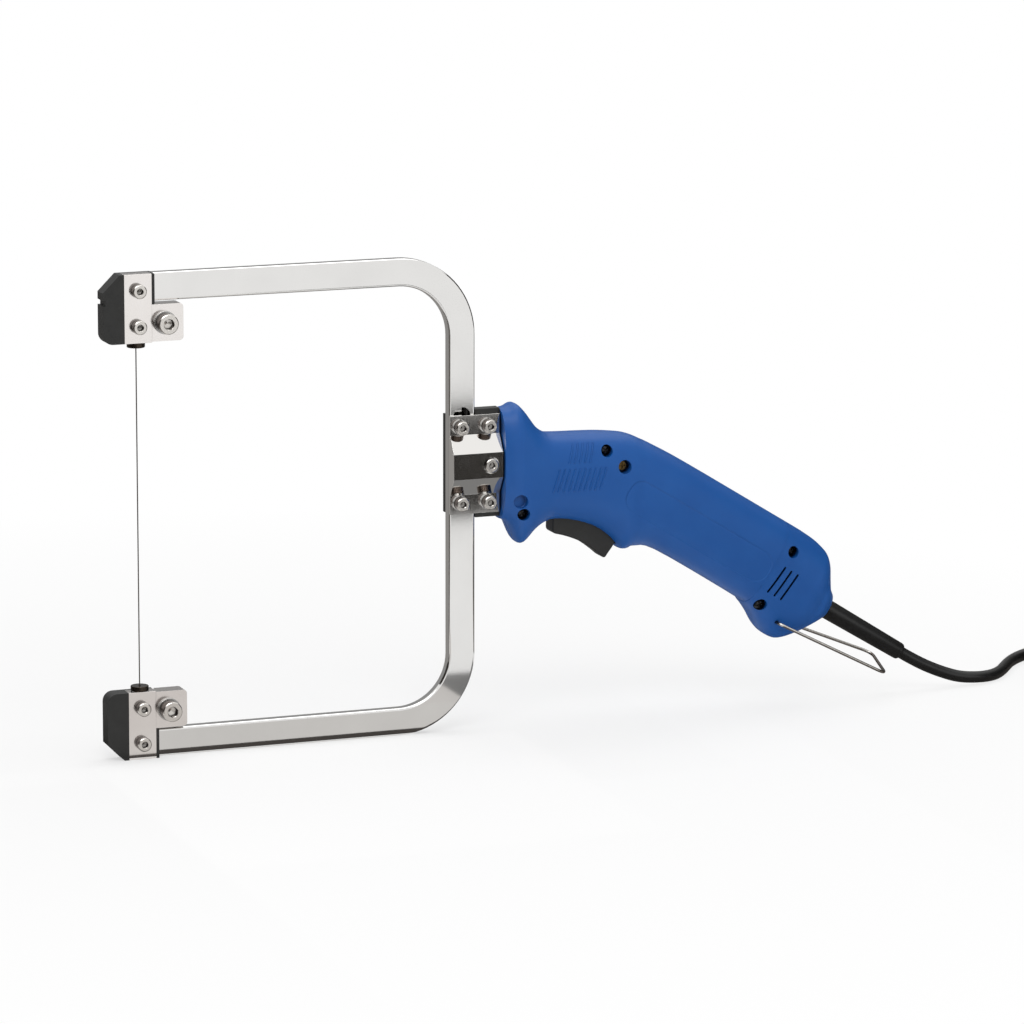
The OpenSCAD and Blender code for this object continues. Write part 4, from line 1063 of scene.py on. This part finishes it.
def make_screws():
    for name, node, size, spots, length, seed in SOCKET_SCREWS:
        mesh = set_out(socket_screw(*size, length), spots, SCREW, math.radians(60), seed)
        new_piece(name, mesh, SCREW, "frame", "screw_steel", node)
    spots = [(FLANGE_X + x, HEAD_Y, CLAMP_Z + z) for x, z in HOUSING_SCREWS]
    mesh = set_out(cross_screw(2 * SCREW_R, 5.4, 2.4, 18), spots, BLACK_STEEL, math.radians(90), 6)
    new_piece("shell_screws", mesh, BLACK_STEEL, "frame", "dark_screws", "housing_screws")


# Hanging loop

BAIL_REST = math.radians(27.3)
BAIL_D = 1.6
BAIL_INNER = 11.2
BAIL_HALF = 17.2
BAIL_LENGTH = 67
BAIL_SKEW = Vector((5, 0, 6.2))
BAIL_BENDS = (3, 6, 6, 3)


def make_bail():
    """Bent wire whose ends hook into the housing; the far corner stands higher, as in the photograph."""
    near = [(0, -BAIL_INNER, 0), (0, -BAIL_HALF, 0), (BAIL_LENGTH, -BAIL_HALF, 0)]
    far = [(0, BAIL_HALF, 0), (0, BAIL_INNER, 0)]
    corner = Vector((BAIL_LENGTH, BAIL_HALF, 0)) + BAIL_SKEW
    path = bent_path([Vector(p) for p in near] + [corner] + [Vector(p) for p in far], BAIL_BENDS)
    turn = Matrix.Rotation(BAIL_REST, 3, "Y")
    hinge = at_handle(BAIL[0], 0, BAIL[1])
    mesh = plain_mesh(round_wire("bail", [(turn @ p) * MM + hinge for p in path], BAIL_D, 5))
    smooth(mesh, 50)
    new_piece("bent_bail", mesh, SCREW, "bail", "bail_steel", "hanging_bail")


# Trigger

FINGER_EDGE = [(27.9, -31), (27.7, -38.1), (34.8, -39.9), (42.4, -43), (47.8, -46.5), (52.1, -49.9),
               (55.9, -53.3), (57.3, -51)]
FINGER_BENDS = (2, 3.5, 3, 2.7, 2.5, 2)
WEB_CORNER = (42, -30.2)
HUB_R = 4
TRIGGER_ROUNDING = 1.0
CHEEK_T = 1.1
POCKET_X = (42, 70)
POCKET_Z = (-34.5, -20)


def make_trigger():
    """Curved finger lever: two cheeks rise into the window, with a pocket between them for the plunger."""
    finger = [tuple(p) for p in bent_path([Vector(p) for p in FINGER_EDGE], FINGER_BENDS)]
    back = arc(PIVOT, TRIGGER_R, -40, -12, 12)
    hub = arc(PIVOT, HUB_R, 20, 190, 12)
    mesh = pillow(in_row(finger + back + [WEB_CORNER] + hub), TRIGGER_HALF, TRIGGER_ROUNDING)
    (x0, x1), (z0, z1) = POCKET_X, POCKET_Z
    room = TRIGGER_HALF - CHEEK_T
    pocket = slab(in_row([(x0, z0), (x1, z0), (x1, z1), (x0, z1)]), -room, room)
    mesh = cut(mesh, [pocket, rod(PIVOT, PIN_R + 2 * SLIP, -20, 20)])
    smooth(mesh, 38)
    new_piece("trigger_lever", applied(mesh, WEIGHTED), NYLON, "trigger", "black_plastic", "trigger")


# Studio: a white sweep, soft boxes and cards that only the metal sees

FLOOR_HALF = 5
AMBIENT = 0.55
NEAR_WHITE = 0.55
FADE = (0.1, 0.6)


def direct_rays(tree):
    """One for rays from the camera or from a mirror, and zero for the rays that light the object."""
    rays = add(tree, "ShaderNodeLightPath").outputs
    seen = add(tree, "ShaderNodeMath", {0: rays["Is Camera Ray"], 1: rays["Is Glossy Ray"]},
               operation="MAXIMUM")
    seen = add(tree, "ShaderNodeMath", {0: seen.outputs[0], 1: rays["Is Transmission Ray"]},
               operation="MAXIMUM")
    return seen.outputs[0]


def make_world():
    world = bpy.data.worlds.new("studio")
    scene.world = world
    world.use_nodes = True
    tree = world.node_tree
    background = tree.nodes["Background"]
    strength = add(tree, "ShaderNodeMapRange", {
        "Value": direct_rays(tree), "To Min": AMBIENT, "To Max": 1.0})
    background.inputs["Color"].default_value = (1, 1, 1, 1)
    tree.links.new(strength.outputs["Result"], background.inputs["Strength"])


def make_floor():
    """White floor that keeps a faint shadow near the tool and goes over to plain white further out."""
    material, tree, shader = surface("white_floor", Base_Color=linear("#F4F4F4"), Roughness=0.9)
    place = add(tree, "ShaderNodeTexCoord").outputs["Object"]
    far = add(tree, "ShaderNodeVectorMath", {0: place}, operation="LENGTH")
    fade = add(tree, "ShaderNodeMapRange", {
        "Value": far.outputs["Value"], "From Min": FADE[0], "From Max": FADE[1], "To Min": NEAR_WHITE,
        "To Max": 1.0})
    share = add(tree, "ShaderNodeMath", {0: fade.outputs["Result"], 1: direct_rays(tree)},
                operation="MULTIPLY")
    white = add(tree, "ShaderNodeEmission", {"Color": (1, 1, 1, 1), "Strength": 1.0})
    mix = add(tree, "ShaderNodeMixShader", {"Fac": share.outputs[0], 1: shader.outputs["BSDF"],
                                            2: white.outputs["Emission"]})
    tree.links.new(mix.outputs["Shader"], tree.nodes["Material Output"].inputs["Surface"])
    mesh = bpy.data.meshes.new("floor")
    corners = [(x * FLOOR_HALF, y * FLOOR_HALF, 0) for x, y in ((-1, -1), (1, -1), (1, 1), (-1, 1))]
    mesh.from_pydata(corners, [], [(0, 1, 2, 3)])
    mesh.materials.append(material)
    link("floor", mesh)


def soft_box(name, place, target, size, power):
    """A rectangular lamp that faces the target."""
    data = bpy.data.lights.new(name, "AREA")
    data.shape = "RECTANGLE"
    data.size, data.size_y = size
    data.energy = power
    lamp = link(name, data)
    lamp.location = place
    lamp.rotation_euler = (Vector(place) - Vector(target)).to_track_quat("Z", "Y").to_euler()


def card(name, colour, corners):
    """A card that shows only in the metal, always in the same even colour."""
    mesh = bpy.data.meshes.new(name)
    mesh.from_pydata(corners, [], [(0, 1, 2, 3)])
    mesh.materials.append(surface(name + "_paper", Base_Color=(0, 0, 0, 1), Roughness=1.0,
                                  Emission_Color=linear(colour), Emission_Strength=1.0,
                                  Specular_IOR_Level=0.0)[0])
    sheet = link(name, mesh)
    sheet.visible_camera = False
    sheet.visible_diffuse = False
    sheet.visible_transmission = False
    sheet.visible_shadow = False


def floor_card(name, colour, x0, x1, y0, y1):
    """A card that lies just above the floor."""
    z = 1 * MM
    card(name, colour, [(x0, y0, z), (x1, y0, z), (x1, y1, z), (x0, y1, z)])


def wall_card(name, colour, a, b, height):
    """A card that stands on the floor between two points."""
    card(name, colour, [(*a, 0), (*b, 0), (*b, height), (*a, height)])


def make_studio():
    """The sweep, the lamps and the cards, whose sizes come from what each steel face mirrors."""
    make_world()
    make_floor()
    soft_box("key_light", (-0.5, -1.1, 1.7), (0.1, 0, 0.1), (1.4, 1.0), 14)
    soft_box("top_light", (0.3, 0.4, 1.8), (0.15, 0, 0.1), (1.6, 1.2), 10)
    floor_card("front_card", "#302E2C", 0.2, 0.5, -0.855, -0.505)
    floor_card("back_card", "#969492", -3, 3, 0.06, 3)
    floor_card("under_card", "#4A4644", -3, 0.12, -0.012, 0.06)
    floor_card("arm_card", "#DAD8D6", -0.1, 0.12, -0.06, -0.012)
    floor_card("terminal_card", "#D8D5D3", -0.1, 0.12, -0.22, -0.06)
    floor_card("left_card", "#6A6663", -3, -0.1, -3, -0.04)
    floor_card("right_card", "#6A6663", 0.25, 3, -0.4, 0.06)
    floor_card("grey_card", "#828282", 0.12, 0.2, -0.12, 0.06)
    wall_card("back_wall", "#989898", (-3, 3), (3, 3), 1.5)
    wall_card("left_wall", "#3A3836", (-1.5, -3), (-1.5, 3), 1.2)
    wall_card("right_wall", "#3A3836", (1.8, -1.2), (1.8, 3), 1.2)


finish_nodes()
make_camera()
make_cord()
make_screws()
make_housing()
make_trigger()
make_bail()
make_relief()
for row in EASED:
    eased(*row)
make_studio()
scene.view_settings.view_transform = "Standard"
